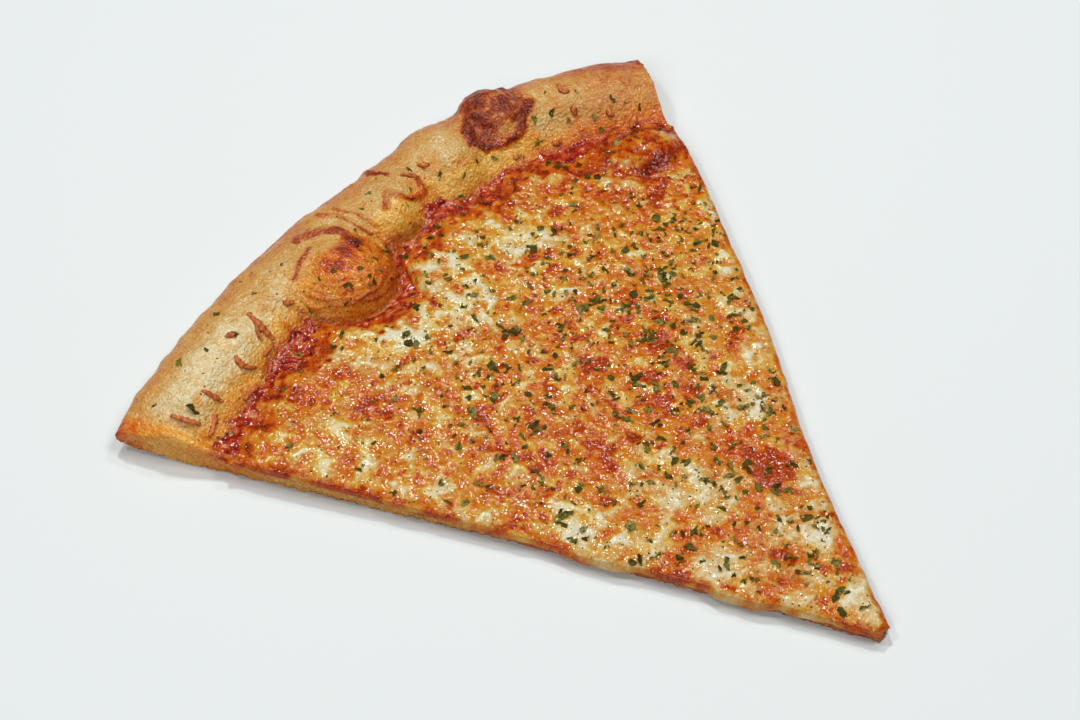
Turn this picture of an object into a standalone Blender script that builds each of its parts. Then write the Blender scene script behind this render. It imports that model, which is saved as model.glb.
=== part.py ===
"""Cheese pizza slice: one sixth of a 20 inch thin crust pizza, cut from tip to rim.

Three layers run through the slice: the dough with its raised rim, the tomato sauce and the melted cheese.
The slice lies flat on its base with the tip towards -Y and the rim towards +Y, and +Z is up.
The shape is worked out in a plan whose zero is the point where the two cuts would meet, just past the
blunt tip, in millimetres, and is centred at the end.
"""

import math

import bmesh
import bpy
from mathutils import Vector
from mathutils.geometry import delaunay_2d_cdt

MM = 0.001

# Plan of the slice, in millimetres and degrees from the bisector.
PIZZA_RADIUS = 253.5
LEFT_ANGLE = -28.1
RIGHT_ANGLE = 28.8
LEFT_BOW = 2.0           # how far the left cut bows in from a straight line
RIGHT_DENT = 0.7         # how far the right cut lies inside a straight line near the tip
RIGHT_BULGE = 5.0        # how far it swings out from there
BULGE_START = 60.0
BULGE_END = 140.0
RIGHT_RETURN = 2.8       # how far it comes back at the rim
RETURN_START = 205.0
RETURN_END = 240.0
CUT_BLEND = 20.0         # closer to the tip than this, the cuts run straight
TIP_CUT = 4.0            # radius at which the blunt tip ends
INSET_GROWS = 12.0       # an inset layer reaches its full inset at this radius
RIM_SWELL = 11.0         # how far the pizza reaches past its radius right of the middle
SWELL_START = -1.0
SWELL_END = 18.0
SWELL_FADE = 3.0         # how much of that is gone at the right cut
RIPPLE = 0.7             # unevenness of the round edge
RIPPLE_TURNS = 17.0

# Heights of the dough.
BASE_TIP = 2.8           # thickness of the base at the tip
BASE_RIM = 5.4           # thickness of the base where the rim starts
BASE_GROWS = (105.0, 205.0)   # radii between which the base grows thicker
RIM_HEIGHT = 15.5
RIM_WIDTH = 37.0
RIM_CREST = 0.50         # share of the rim's width that lies outside its crest
RIM_WIDEST_Z = 6.0       # height at which the rim reaches furthest out
RIM_UNDERCUT = 7.0       # width of the rounded underside of the rim
BUBBLE_FREE = 6.0        # the bubbles fade out over this width at the outer edge
LEFT_PRESSED = 6.0       # how much the cutter has pressed the rim down at each cut
RIGHT_PRESSED = 3.0
PRESSED_WIDTH = 20.0
LIP_HEIGHT = 1.6         # pale lip of dough standing along the left cut
LIP_WIDTH = 5.0
LIP_RISES = (219.0, 225.0)    # radii between which the lip rises
LIP_FALLS = (234.0, 243.0)    # radii between which it falls again
CORNER_LIFT = 2.0        # the left corner stands a little clear of the table
CORNER_REACH = 26.0

# Bubbles in the rim: centre x, centre y, radius, height of the ball's middle, height of its top.
BUBBLES = (
    ("front bubble", -23.6, 225.0, 20.0, 3.0, 19.0),
    ("small bubble", 6.4, 234.5, 13.0, 7.0, 17.5),
    ("low swell", 37.4, 240.0, 17.0, 5.0, 17.5),
    ("dark blister", 65.0, 242.5, 13.5, 10.0, 21.5),
)
BUBBLE_ROUND = 0.6       # 0.5 is a ball, and more is a softer mound
BLEND = 3.0              # how softly one height runs into another

# Sauce and cheese.
GAP = 0.3                # clearance kept between one layer and the next
RIM_GAP = 0.9            # clearance below the sauce where the dough curves up into the rim
RIM_GAP_BAND = (14.0, 6.0)    # distances from the edge of the sauce between which that clearance opens
SAUCE_THICK = 1.0
SAUCE_EDGE = 0.35
SAUCE_RADIUS_LEFT = 220.5
SAUCE_RADIUS_RIGHT = 228.0
SAUCE_TURNS = (-12.0, 10.0)   # angles between which the edge runs from one radius to the other
SAUCE_THINS = 12.0       # the sauce thins out over this width towards its edge
BUBBLE_CLEAR = 4.2       # the sauce stops this far in front of each bubble
SAUCE_INSET = 1.1        # the sauce stands back from the cut faces
CHEESE_SETBACK = 8.0     # width of the bare band of sauce along the rim
CHEESE_THICK = 2.4
CHEESE_EDGE = 0.8
CHEESE_LUMP = 0.55
CHEESE_THINS = 9.0       # the cheese thins out over this width towards its edge
CHEESE_THIN_SIDES = 0.45 # share of its thickness left at the cuts
SIDES_BAND = 4.0         # width of the thinner band along the cuts
OVER_BLISTER = 5.0       # how much further out the cheese reaches over its blister
BLISTER_TURNS = (20.0, 25.0)  # angles between which it does so
CHEESE_INSET = 0.8
BLISTER = (94.4, 193.0, 12.5, 5.0)   # cheese covered blister: centre x, centre y, radius, height
DRIPS = ((94.0, 16.0), (48.0, 12.5))   # runs of cheese over the left cut: distance from the tip, half length
DRIP_REACH = 2.2         # how far a run stands out from the cut
DRIP_CLEAR = 0.1         # and how clear its inner side stays of the dough, past the usual gap
DRIP_TAPER = (0.35, 1.0)      # shares of a run's half length between which it fades out
DRIP_SHOULDER = 0.35     # share of the cheese's thickness above a run's shoulder
DRIP_FOOT = 0.8          # height at which a run ends above the table

# Spacing of the modelled points.
EDGE_STEP = 5.0
RIM_STEP = 4.0
BASE_STEP = 11.0
CHEESE_STEP = 5.6
RIM_ROWS = (0.5, 1.6, 3.4, 6.2)      # rows close to the outer edge, where the rim is steep
UNDER_ROWS = (1.2, 3.8, 7.4)
SLOPE_STEP = 4.8         # spacing in the sauce and under the cheese where the dough starts to rise
SLOPE_START = 193.0      # radius where that starts
UNDER_STEP = 15.0
FIELD_REACH = 12.0       # the fine points start this far inside the rim
BUBBLE_RINGS = (0.0, 0.3, 0.58, 0.8, 0.93, 1.02)   # rings of points on a bubble, as shares of its radius
CLOSEST = 1.8            # points closer together than this are thinned


def smooth(low, high, value):
    """0 below low, 1 above high, and a smooth step between them."""
    share = min(1.0, max(0.0, (value - low) / (high - low)))
    return share * share * (3.0 - 2.0 * share)


def soft_max(a, b, width):
    """The larger of two heights, rounded over where they cross."""
    share = min(1.0, max(0.0, 0.5 + 0.5 * (b - a) / width))
    return a + (b - a) * share + width * share * (1.0 - share)


def polar(x, y):
    """Radius in millimetres and angle in degrees from the bisector."""
    return math.hypot(x, y), math.degrees(math.atan2(x, y))


def plan(radius, degrees):
    turn = math.radians(degrees)
    return radius * math.sin(turn), radius * math.cos(turn)


def outer_radius(degrees):
    """Radius of the uneven round edge of the pizza."""
    swell = RIM_SWELL * smooth(SWELL_START, SWELL_END, degrees)
    fade = SWELL_FADE * smooth(SWELL_END, RIGHT_ANGLE, degrees)
    ripple = RIPPLE * math.sin(math.radians(abs(degrees) * RIPPLE_TURNS))
    return PIZZA_RADIUS + swell - fade + ripple


def cut_angle(side, radius):
    """Angle of a cut at a radius: the left one bows in, and the right one swings out past the middle."""
    if side < 0:
        share = radius / PIZZA_RADIUS
        bow = LEFT_BOW * 4.0 * share * (1.0 - share)
        return LEFT_ANGLE + math.degrees(bow / max(radius, CUT_BLEND))
    out = RIGHT_BULGE * smooth(BULGE_START, BULGE_END, radius) - RIGHT_DENT
    out -= RIGHT_RETURN * smooth(RETURN_START, RETURN_END, radius)
    return RIGHT_ANGLE + math.degrees(out / max(radius, CUT_BLEND))


def cut_distance(side, x, y):
    """Distance from a cut, into the slice."""
    radius, degrees = polar(x, y)
    return radius * math.radians((cut_angle(side, radius) - degrees) * side)


def sauce_radius(degrees):
    """Where the sauce ends below the rim."""
    across = smooth(*SAUCE_TURNS, degrees)
    radius = SAUCE_RADIUS_LEFT + (SAUCE_RADIUS_RIGHT - SAUCE_RADIUS_LEFT) * across
    radius += math.sin(math.radians(degrees * 23.0))
    for _, bx, by, size, _, _ in BUBBLES:
        middle, turn = polar(bx, by)
        aside = middle * math.sin(math.radians(degrees - turn))
        reach = size + BUBBLE_CLEAR
        if abs(aside) < reach:
            front = middle - math.sqrt(reach * reach - aside * aside)
            radius = -soft_max(-radius, -front, BLEND)
    return radius


def cheese_radius(degrees):
    """Where the cheese ends: a wandering edge inside the sauce, and further out over the blister."""
    wander = 1.8 * math.sin(math.radians(degrees * 31.0)) + 1.2 * math.sin(math.radians(degrees * 53.0))
    over_blister = OVER_BLISTER * smooth(*BLISTER_TURNS, degrees)
    return sauce_radius(degrees) - CHEESE_SETBACK + wander + over_blister


def base_height(radius):
    """Top of the flat base of the dough."""
    return BASE_TIP + (BASE_RIM - BASE_TIP) * smooth(*BASE_GROWS, radius)


def rim_height(x, y):
    """Height of the crest of the rim, pressed down towards both cuts."""
    left = 1.0 - smooth(0.0, PRESSED_WIDTH, cut_distance(-1, x, y))
    right = 1.0 - smooth(0.0, PRESSED_WIDTH, cut_distance(1, x, y))
    return RIM_HEIGHT - LEFT_PRESSED * left - RIGHT_PRESSED * right


def dough_top(x, y):
    radius, degrees = polar(x, y)
    outside = outer_radius(degrees) - radius
    crest = RIM_WIDTH * RIM_CREST
    height = rim_height(x, y)
    base = base_height(radius)
    if outside <= crest:
        share = max(0.0, outside) / crest
        z = RIM_WIDEST_Z + (height - RIM_WIDEST_Z) * math.sqrt(1.0 - (1.0 - share) ** 2)
    else:
        fall = smooth(crest, RIM_WIDTH, outside)
        z = height + (base - height) * fall
    edge = smooth(0.0, BUBBLE_FREE, outside)
    for _, bx, by, size, middle, top in BUBBLES:
        away = math.hypot(x - bx, y - by) / size
        if away < 1.0:
            ball = middle + (top - middle) * (1.0 - away * away) ** BUBBLE_ROUND
            z += (soft_max(z, ball, BLEND) - z) * edge
    lip = cut_distance(-1, x, y) / LIP_WIDTH
    if 0.0 <= lip < 1.0:
        along = smooth(*LIP_RISES, radius) * (1.0 - smooth(*LIP_FALLS, radius))
        z += LIP_HEIGHT * along * (1.0 - lip * lip)
    return z


def dough_bottom(x, y):
    """The flat base, rounded up under the rim and lifted at the left corner."""
    radius, degrees = polar(x, y)
    outside = outer_radius(degrees) - radius
    round_up = 1.0 - min(1.0, max(0.0, outside) / RIM_UNDERCUT)
    z = RIM_WIDEST_Z * (1.0 - math.sqrt(1.0 - round_up * round_up))
    corner = Vector(plan(outer_radius(LEFT_ANGLE), LEFT_ANGLE))
    lift = 1.0 - smooth(0.0, CORNER_REACH, (Vector((x, y)) - corner).length)
    return z + CORNER_LIFT * lift * (1.0 - z / RIM_WIDEST_Z)


def sauce_bottom(x, y):
    radius, degrees = polar(x, y)
    flat = smooth(*RIM_GAP_BAND[::-1], sauce_radius(degrees) - radius)
    return dough_top(x, y) + RIM_GAP + (GAP - RIM_GAP) * flat


def sauce_top(x, y):
    radius, degrees = polar(x, y)
    inside = smooth(0.0, SAUCE_THINS, sauce_radius(degrees) - radius)
    return sauce_bottom(x, y) + SAUCE_EDGE + (SAUCE_THICK - SAUCE_EDGE) * inside


def cheese_bottom(x, y):
    return sauce_top(x, y) + GAP


def cheese_top(x, y):
    radius, degrees = polar(x, y)
    inside = smooth(0.0, CHEESE_THINS, cheese_radius(degrees) - radius)
    sides = smooth(-0.5 * SIDES_BAND, SIDES_BAND, min(cut_distance(-1, x, y), cut_distance(1, x, y)))
    lumps = math.sin(x * 0.41 + 1.3 * math.sin(y * 0.23)) * math.sin(y * 0.37 + 1.1 * math.sin(x * 0.19))
    share = CHEESE_THIN_SIDES + (1.0 - CHEESE_THIN_SIDES) * sides
    thick = CHEESE_EDGE + (CHEESE_THICK - CHEESE_EDGE) * inside * share
    bx, by, size, rise = BLISTER
    away = min(1.0, math.hypot(x - bx, y - by) / size)
    blister = rise * (1.0 - away * away) ** 1.2
    return cheese_bottom(x, y) + thick + CHEESE_LUMP * lumps * inside * sides + blister


def drip(x, y):
    """1 in the middle of a run of cheese over the left cut, 0 between the runs and everywhere else."""
    if cut_distance(-1, x, y) > CHEESE_INSET * 2.0:
        return 0.0
    radius = math.hypot(x, y)
    return max(1.0 - smooth(*DRIP_TAPER, abs(radius - middle) / half) for middle, half in DRIPS)


def outline(radius_at, inset, step):
    """The closed edge of a layer, anticlockwise: right cut, round edge, left cut and blunt tip."""
    sides = {}
    for side in (-1, 1):
        end = radius_at(cut_angle(side, radius_at(cut_angle(side, PIZZA_RADIUS))))
        count = max(4, round((end - TIP_CUT) / step))
        points = []
        for i in range(count + 1):
            radius = TIP_CUT + (end - TIP_CUT) * i / count
            aside = math.degrees(inset / radius) * smooth(0.0, INSET_GROWS, radius)
            points.append((radius, cut_angle(side, radius) - side * aside))
        sides[side] = points
    first, last = sides[1][-1][1], sides[-1][-1][1]
    count = round(math.radians(first - last) * PIZZA_RADIUS / step)
    arc = []
    for i in range(1, count):
        turn = first + (last - first) * i / count
        arc.append((radius_at(turn), turn))
    loop = sides[1] + arc + sides[-1][::-1]
    return [plan(radius, turn) for radius, turn in loop]


def well_inside(x, y, radius_at, inset, room):
    radius, degrees = polar(x, y)
    near = min(cut_distance(-1, x, y), cut_distance(1, x, y)) - inset
    return near > room and radius < radius_at(degrees) - room and radius > TIP_CUT + room * 0.6


def lattice(step, radius_at, inset, low=0.0, high=2.0 * PIZZA_RADIUS):
    """Points of a triangular lattice inside a layer, between two radii."""
    points = []
    row_step = step * math.sqrt(0.75)
    rows = int((PIZZA_RADIUS + RIM_SWELL) / row_step) + 1
    for j in range(rows):
        y = j * row_step
        for i in range(-rows, rows):
            x = (i + 0.5 * (j % 2)) * step
            if low <= math.hypot(x, y) < high and well_inside(x, y, radius_at, inset, step * 0.5):
                points.append((x, y))
    return points


def rim_rows(distances, step):
    """Rows of points that follow the outer edge at the given distances inside it."""
    points = []
    count = round(math.radians(RIGHT_ANGLE - LEFT_ANGLE) * PIZZA_RADIUS / step)
    for row, distance in enumerate(distances):
        for i in range(count):
            degrees = LEFT_ANGLE + (RIGHT_ANGLE - LEFT_ANGLE) * (i + 0.5 * (row % 2)) / count
            x, y = plan(outer_radius(degrees) - distance, degrees)
            if min(cut_distance(-1, x, y), cut_distance(1, x, y)) > step * 0.4:
                points.append((x, y))
    return points


def rings(bx, by, size):
    """Rings of points that follow the round shape of a bubble."""
    points = []
    for share in BUBBLE_RINGS:
        count = max(1, round(math.tau * size * share / RIM_STEP))
        for i in range(count):
            turn = math.tau * (i + 0.5 * share) / count
            points.append((bx + size * share * math.cos(turn), by + size * share * math.sin(turn)))
    return points


def bubble_points():
    points = [p for _, bx, by, size, _, _ in BUBBLES for p in rings(bx, by, size)]
    return [p for p in points if well_inside(*p, outer_radius, 0.0, RIM_ROWS[0])]


def thinned(points):
    """Leaves out each point that lies too close to one before it."""
    kept = []
    for x, y in points:
        if all(math.hypot(x - kx, y - ky) > CLOSEST for kx, ky in kept):
            kept.append((x, y))
    return kept


def outside_bubbles(points):
    return [
        (x, y)
        for x, y in points
        if all(math.hypot(x - bx, y - by) > size + CLOSEST for _, bx, by, size, _, _ in BUBBLES)
    ]


def inside_top_rows(degrees):
    """Radius at which the rows of points along the outer edge of the top end."""
    return outer_radius(degrees) - RIM_ROWS[-1]


def inside_under_rows(degrees):
    return outer_radius(degrees) - UNDER_ROWS[-1]


def add_surface(bm, edge, inner, height, upwards):
    """Triangles over an outline and the points inside it. Returns the vertices along the outline."""
    points = [Vector(p) for p in edge + inner]
    loop = list(range(len(edge)))
    flat, _, faces, _, _, inside = delaunay_2d_cdt(points, [], [loop], 1, 1e-6, True)
    made = [bm.verts.new((p.x, p.y, height(p.x, p.y))) for p in flat]
    for face, within_outline in zip(faces, inside):
        if within_outline:
            corners = [made[i] for i in face]
            bm.faces.new(corners if upwards else corners[::-1])
    return made[: len(edge)]


def add_wall(bm, upper, lower):
    """Joins an upper and a lower edge, side by side all the way round."""
    count = len(upper)
    for i in range(count):
        j = (i + 1) % count
        bm.faces.new((upper[j], upper[i], lower[i], lower[j]))


def add_drips(bm, upper, lower):
    """Joins the edges of the cheese by a wall that hangs over the left cut wherever the cheese runs."""
    outwards = Vector((*plan(1.0, LEFT_ANGLE - 90.0), 0.0))
    loops = [upper, [], [], [], [], lower]
    for high, low in zip(upper, lower):
        run = drip(high.co.x, high.co.y)
        face = GAP + CHEESE_INSET + DRIP_CLEAR
        reach = face + DRIP_REACH * (0.4 + 0.6 * run)
        shoulder_z = high.co.z - DRIP_SHOULDER * (high.co.z - low.co.z)
        foot_z = low.co.z + (DRIP_FOOT - low.co.z) * run
        places = ((reach, shoulder_z), (reach, foot_z), (face, foot_z), (face, low.co.z))
        for loop, (out, z), rest in zip(loops[1:5], places, (high, high, low, low)):
            place = rest.co + outwards * out if run > 0.0 else rest.co.copy()
            if run > 0.0:
                place.z = z
            loop.append(bm.verts.new(place))
    for above, below in zip(loops, loops[1:]):
        add_wall(bm, above, below)


def close_layer(bm):
    """Merges the two edges where they meet, and leaves triangles that face outwards."""
    bmesh.ops.remove_doubles(bm, verts=bm.verts, dist=1e-3)
    bmesh.ops.dissolve_degenerate(bm, edges=bm.edges, dist=1e-3)
    bmesh.ops.triangulate(bm, faces=bm.faces)
    bmesh.ops.recalc_face_normals(bm, faces=bm.faces)


def build_dough():
    bm = bmesh.new()
    edge = outline(outer_radius, 0.0, EDGE_STEP)
    field_start = PIZZA_RADIUS - RIM_WIDTH - FIELD_REACH
    field = lattice(RIM_STEP, inside_top_rows, 0.0, field_start)
    field += lattice(BASE_STEP, outer_radius, 0.0, 0.0, field_start)
    inner = rim_rows(RIM_ROWS, RIM_STEP) + thinned(bubble_points() + outside_bubbles(field))
    under = rim_rows(UNDER_ROWS, EDGE_STEP) + lattice(UNDER_STEP, inside_under_rows, 0.0)
    upper = add_surface(bm, edge, inner, dough_top, True)
    lower = add_surface(bm, edge, under, dough_bottom, False)
    add_wall(bm, upper, lower)
    close_layer(bm)
    return bm


def sloped_lattice(radius_at, inset):
    """Points for a surface that follows the dough: closer together where the dough starts to rise."""
    points = lattice(BASE_STEP, radius_at, inset, 0.0, SLOPE_START)
    return points + lattice(SLOPE_STEP, radius_at, inset, SLOPE_START)


def build_sauce():
    bm = bmesh.new()
    edge = outline(sauce_radius, SAUCE_INSET, EDGE_STEP)
    inner = sloped_lattice(sauce_radius, SAUCE_INSET)
    upper = add_surface(bm, edge, inner, sauce_top, True)
    lower = add_surface(bm, edge, inner, sauce_bottom, False)
    add_wall(bm, upper, lower)
    close_layer(bm)
    return bm


def build_cheese():
    """The cheese ends at the right cut, and hangs over the left one in a few runs."""
    bm = bmesh.new()
    edge = outline(cheese_radius, CHEESE_INSET, EDGE_STEP)
    blister = [p for p in rings(*BLISTER[:3]) if well_inside(*p, cheese_radius, CHEESE_INSET, CLOSEST)]
    inner = thinned(blister + lattice(CHEESE_STEP, cheese_radius, CHEESE_INSET))
    upper = add_surface(bm, edge, inner, cheese_top, True)
    lower = add_surface(bm, edge, sloped_lattice(cheese_radius, CHEESE_INSET), cheese_bottom, False)
    add_drips(bm, upper, lower)
    close_layer(bm)
    return bm


def food_material(name, color, roughness):
    material = bpy.data.materials.new(name)
    material.use_nodes = True
    shader = material.node_tree.nodes["Principled BSDF"]
    shader.inputs["Base Color"].default_value = (*color, 1.0)
    shader.inputs["Roughness"].default_value = roughness
    shader.inputs["Metallic"].default_value = 0.0
    return material


def add_part(name, bm, centre, material):
    """Turns a layer into a named object, in metres and centred over the base."""
    for vertex in bm.verts:
        vertex.co = (vertex.co - centre) * MM
    mesh = bpy.data.meshes.new(name)
    bm.to_mesh(mesh)
    bm.free()
    mesh.materials.append(material)
    part = bpy.data.objects.new(name, mesh)
    bpy.context.scene.collection.objects.link(part)
    return part


def main():
    for old in list(bpy.data.objects):
        bpy.data.objects.remove(old)
    dough = build_dough()
    xs = [v.co.x for v in dough.verts]
    ys = [v.co.y for v in dough.verts]
    centre = Vector(((min(xs) + max(xs)) / 2.0, (min(ys) + max(ys)) / 2.0, 0.0))
    layers = (
        ("crust", dough, food_material("baked_dough", (0.58, 0.36, 0.13), 0.7)),
        ("sauce", build_sauce(), food_material("tomato_sauce", (0.38, 0.03, 0.012), 0.35)),
        ("cheese", build_cheese(), food_material("melted_cheese", (0.74, 0.46, 0.16), 0.3)),
    )
    for name, bm, material in layers:
        part = add_part(name, bm, centre, material)
        part.data.shade_flat()


main()
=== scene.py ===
"""Looks of a cheese pizza slice: baked dough, tomato sauce, melted cheese, herbs and browned shreds of cheese.

Every piece is worked out in the plan of the slice, in millimetres. The plan's zero is the point where the two
cuts would meet, just past the blunt tip, with +Y along the bisector. It is moved into the frame at the end.
"""

import math

import bmesh
import bpy
import numpy as np
from bpy.props import FloatProperty, FloatVectorProperty, IntProperty, PointerProperty
from mathutils import Matrix, Vector
from mathutils.bvhtree import BVHTree
from mathutils.geometry import delaunay_2d_cdt


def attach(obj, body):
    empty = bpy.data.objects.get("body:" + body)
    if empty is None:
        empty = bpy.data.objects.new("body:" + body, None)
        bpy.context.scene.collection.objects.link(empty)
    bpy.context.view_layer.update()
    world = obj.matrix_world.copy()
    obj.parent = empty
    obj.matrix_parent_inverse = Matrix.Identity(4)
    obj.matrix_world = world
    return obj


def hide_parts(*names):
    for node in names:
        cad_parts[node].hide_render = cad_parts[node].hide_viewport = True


bl_info = {
    "name": "Cheese Pizza Slice",
    "version": (1, 0, 0),
    "blender": (4, 5, 0),
    "location": "3D View > Sidebar > Pizza",
    "description": "Builds the looks of a slice of cheese pizza around its solids",
    "category": "Object",
}

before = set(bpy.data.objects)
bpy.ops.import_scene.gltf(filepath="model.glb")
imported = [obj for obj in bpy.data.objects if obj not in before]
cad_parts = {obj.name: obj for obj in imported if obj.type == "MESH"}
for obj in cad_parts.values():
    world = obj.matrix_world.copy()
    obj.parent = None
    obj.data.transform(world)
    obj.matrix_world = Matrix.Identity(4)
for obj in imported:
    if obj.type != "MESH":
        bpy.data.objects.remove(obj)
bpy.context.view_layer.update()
MM = 0.001

# Plan of the slice, the same as that of its solids, in millimetres and degrees from the bisector.
PIZZA_RADIUS = 253.5
LEFT_ANGLE = -28.1
RIGHT_ANGLE = 28.8
LEFT_BOW = 2.0
RIGHT_DENT = 0.7
RIGHT_BULGE = 5.0
BULGE_BAND = (60.0, 140.0)
RIGHT_RETURN = 2.8
RETURN_BAND = (205.0, 240.0)
CUT_BLEND = 20.0
TIP_CUT = 4.0
RIM_SWELL = 11.0
SWELL_START = -1.0
SWELL_END = 18.0
SWELL_FADE = 3.0
BASE_TIP = 2.8
BASE_RIM = 5.4
BASE_GROWS = (105.0, 205.0)
RIM_HEIGHT = 15.5
RIM_WIDTH = 37.0
RIM_CREST = 18.5
RIM_WIDEST_Z = 6.0
RIM_UNDERCUT = 7.0
LEFT_PRESSED = 6.0
RIGHT_PRESSED = 3.0
PRESSED_WIDTH = 20.0
CORNER_LIFT = 2.0
CORNER_REACH = 26.0
SAUCE_RADIUS_LEFT = 220.5
SAUCE_RADIUS_RIGHT = 228.0
SAUCE_TURNS = (-12.0, 10.0)
CHEESE_SETBACK = 8.0
DRIPS = ((94.0, 16.0), (48.0, 12.5))     # runs of cheese over the left cut: distance from the tip, half length
SLAB_END = 200.0          # radius at which the rim's rows of points start
FINE_RIM = 50.0           # width of the finely modelled part of the rim
LAYER_GAP = 0.08
SAUCE_LIP = 0.15          # thickness of the sauce at its very edge

# Bubbles in the rim: centre x, y and z, radius, height of the top above the centre, softness of the foot.
FRONT_BUBBLE = (-23.6, 225.0, -4.0, 22.5, 22.5, 0.13)
SMALL_BUBBLE = (6.4, 234.5, 3.0, 14.0, 14.0, 0.12)
LOW_SWELL = (37.4, 240.0, 0.0, 19.0, 17.0, 0.12)
DARK_BLISTER = (65.0, 242.0, 1.0, 16.0, 19.0, 0.10)
RIM_BUBBLES = (FRONT_BUBBLE, SMALL_BUBBLE, LOW_SWELL, DARK_BLISTER)
BUBBLE_FRONTS = ((-23.6, 225.0, 20.0), (6.4, 234.5, 13.0), (37.4, 240.0, 17.0), (65.0, 242.5, 13.5))
CHEESE_BLISTER = (94.4, 193.0, 12.5, 5.0)

# How the rim is looked down on when its marks are placed: by how much a mark moves to the upper right for each
# millimetre that it lies above the middle of the cheese.
MARK_SLANT = 0.604
MARK_LEVEL = 5.0
MARK_SHIFT = (3.4, 3.0)


# ---------------------------------------------------------------- numbers


def smooth(low, high, value):
    """0 below low, 1 above high, and a smooth step between them."""
    share = np.clip((value - low) / (high - low), 0.0, 1.0)
    return share * share * (3.0 - 2.0 * share)


def soft_max(a, b, width):
    share = np.clip(0.5 + 0.5 * (b - a) / width, 0.0, 1.0)
    return a + (b - a) * share + width * share * (1.0 - share)


def mix(a, b, share):
    return a + (b - a) * share


def bell(distance, width):
    return np.exp(-((distance / width) ** 2))


def noise(x, y, z, cell, seed, octaves=1):
    """Smooth noise, mostly between -1 and 1, with features about one cell wide, in millimetres."""
    total, weight = 0.0, 0.0
    x, y, z = np.broadcast_arrays(np.asarray(x, float), np.asarray(y, float), np.asarray(z, float))
    for octave in range(octaves):
        table = np.random.default_rng(seed + 101 * octave).uniform(-1.0, 1.0, (32, 32, 32))
        size = cell / 2.0**octave
        lows, shares = [], []
        for axis in (x, y, z):
            place = axis / size + 500.0
            low = np.floor(place).astype(int)
            share = place - low
            lows.append(low)
            shares.append(share * share * (3.0 - 2.0 * share))
        value = 0.0
        for i in (0, 1):
            for j in (0, 1):
                for k in (0, 1):
                    weights = 1.0
                    for step, share in zip((i, j, k), shares):
                        weights = weights * (share if step else 1.0 - share)
                    at = [(low + step) % 32 for low, step in zip(lows, (i, j, k))]
                    value = value + weights * table[at[0], at[1], at[2]]
        gain = 0.5**octave
        total = total + value * gain
        weight += gain
    return total / weight * 1.6


# ---------------------------------------------------------------- plan of the slice


def polar(x, y):
    return np.hypot(x, y), np.degrees(np.arctan2(x, y))


def plan(radius, degrees):
    turn = np.radians(degrees)
    return radius * np.sin(turn), radius * np.cos(turn)


def outer_radius(degrees):
    swell = RIM_SWELL * smooth(SWELL_START, SWELL_END, degrees)
    fade = SWELL_FADE * smooth(SWELL_END, RIGHT_ANGLE, degrees)
    return PIZZA_RADIUS + swell - fade + 0.7 * np.sin(np.radians(np.abs(degrees) * 17.0))


def cut_angle(side, radius):
    if side < 0:
        share = radius / PIZZA_RADIUS
        return LEFT_ANGLE + np.degrees(LEFT_BOW * 4.0 * share * (1.0 - share) / np.maximum(radius, CUT_BLEND))
    out = RIGHT_BULGE * smooth(*BULGE_BAND, radius) - RIGHT_DENT - RIGHT_RETURN * smooth(*RETURN_BAND, radius)
    return RIGHT_ANGLE + np.degrees(out / np.maximum(radius, CUT_BLEND))


def cut_distance(side, x, y):
    radius, degrees = polar(x, y)
    return radius * np.radians((cut_angle(side, radius) - degrees) * side)


def sauce_radius(degrees):
    across = smooth(*SAUCE_TURNS, degrees)
    radius = mix(SAUCE_RADIUS_LEFT, SAUCE_RADIUS_RIGHT, across) + np.sin(np.radians(degrees * 23.0))
    radius = radius + 1.3 * noise(degrees * 4.2, 0.0, 0.0, 4.0, 6, 3)
    for bx, by, size in BUBBLE_FRONTS:
        middle, turn = polar(bx, by)
        aside = middle * np.sin(np.radians(degrees - turn))
        reach = size + 0.6
        front = middle - np.sqrt(np.maximum(reach * reach - aside * aside, 0.0))
        front = np.where(np.abs(aside) < reach, front, 999.0)
        radius = -soft_max(-radius, -front, 3.0)
    return radius


def cheese_radius(degrees):
    wander = 1.8 * np.sin(np.radians(degrees * 31.0)) + 1.2 * np.sin(np.radians(degrees * 53.0))
    over_blister = 5.0 * smooth(20.0, 25.0, degrees)
    fingers = 1.6 * noise(degrees * 4.0, 0.0, 0.0, 3.0, 5, 2)
    return sauce_radius(degrees) - CHEESE_SETBACK + 2.5 + wander + over_blister + fingers


def base_height(radius):
    return BASE_TIP + (BASE_RIM - BASE_TIP) * smooth(*BASE_GROWS, radius)


def rim_height(x, y):
    left = 1.0 - smooth(0.0, PRESSED_WIDTH, cut_distance(-1, x, y))
    right = 1.0 - smooth(0.0, PRESSED_WIDTH, cut_distance(1, x, y))
    return RIM_HEIGHT - LEFT_PRESSED * left - RIGHT_PRESSED * right


def dough_top(x, y, outside=None):
    """Height of the dough without its bubbles."""
    radius, degrees = polar(x, y)
    if outside is None:
        outside = outer_radius(degrees) - radius
    height, base = rim_height(x, y), base_height(radius)
    share = np.clip(outside, 0.0, RIM_CREST) / RIM_CREST
    outer = RIM_WIDEST_Z + (height - RIM_WIDEST_Z) * np.sqrt(1.0 - (1.0 - share) ** 2)
    inner = height + (base - height) * smooth(RIM_CREST, RIM_WIDTH, outside)
    return np.where(outside <= RIM_CREST, outer, inner)


def corner_lift(x, y):
    cx, cy = plan(outer_radius(LEFT_ANGLE), LEFT_ANGLE)
    return CORNER_LIFT * (1.0 - smooth(0.0, CORNER_REACH, np.hypot(x - cx, y - cy)))


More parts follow.
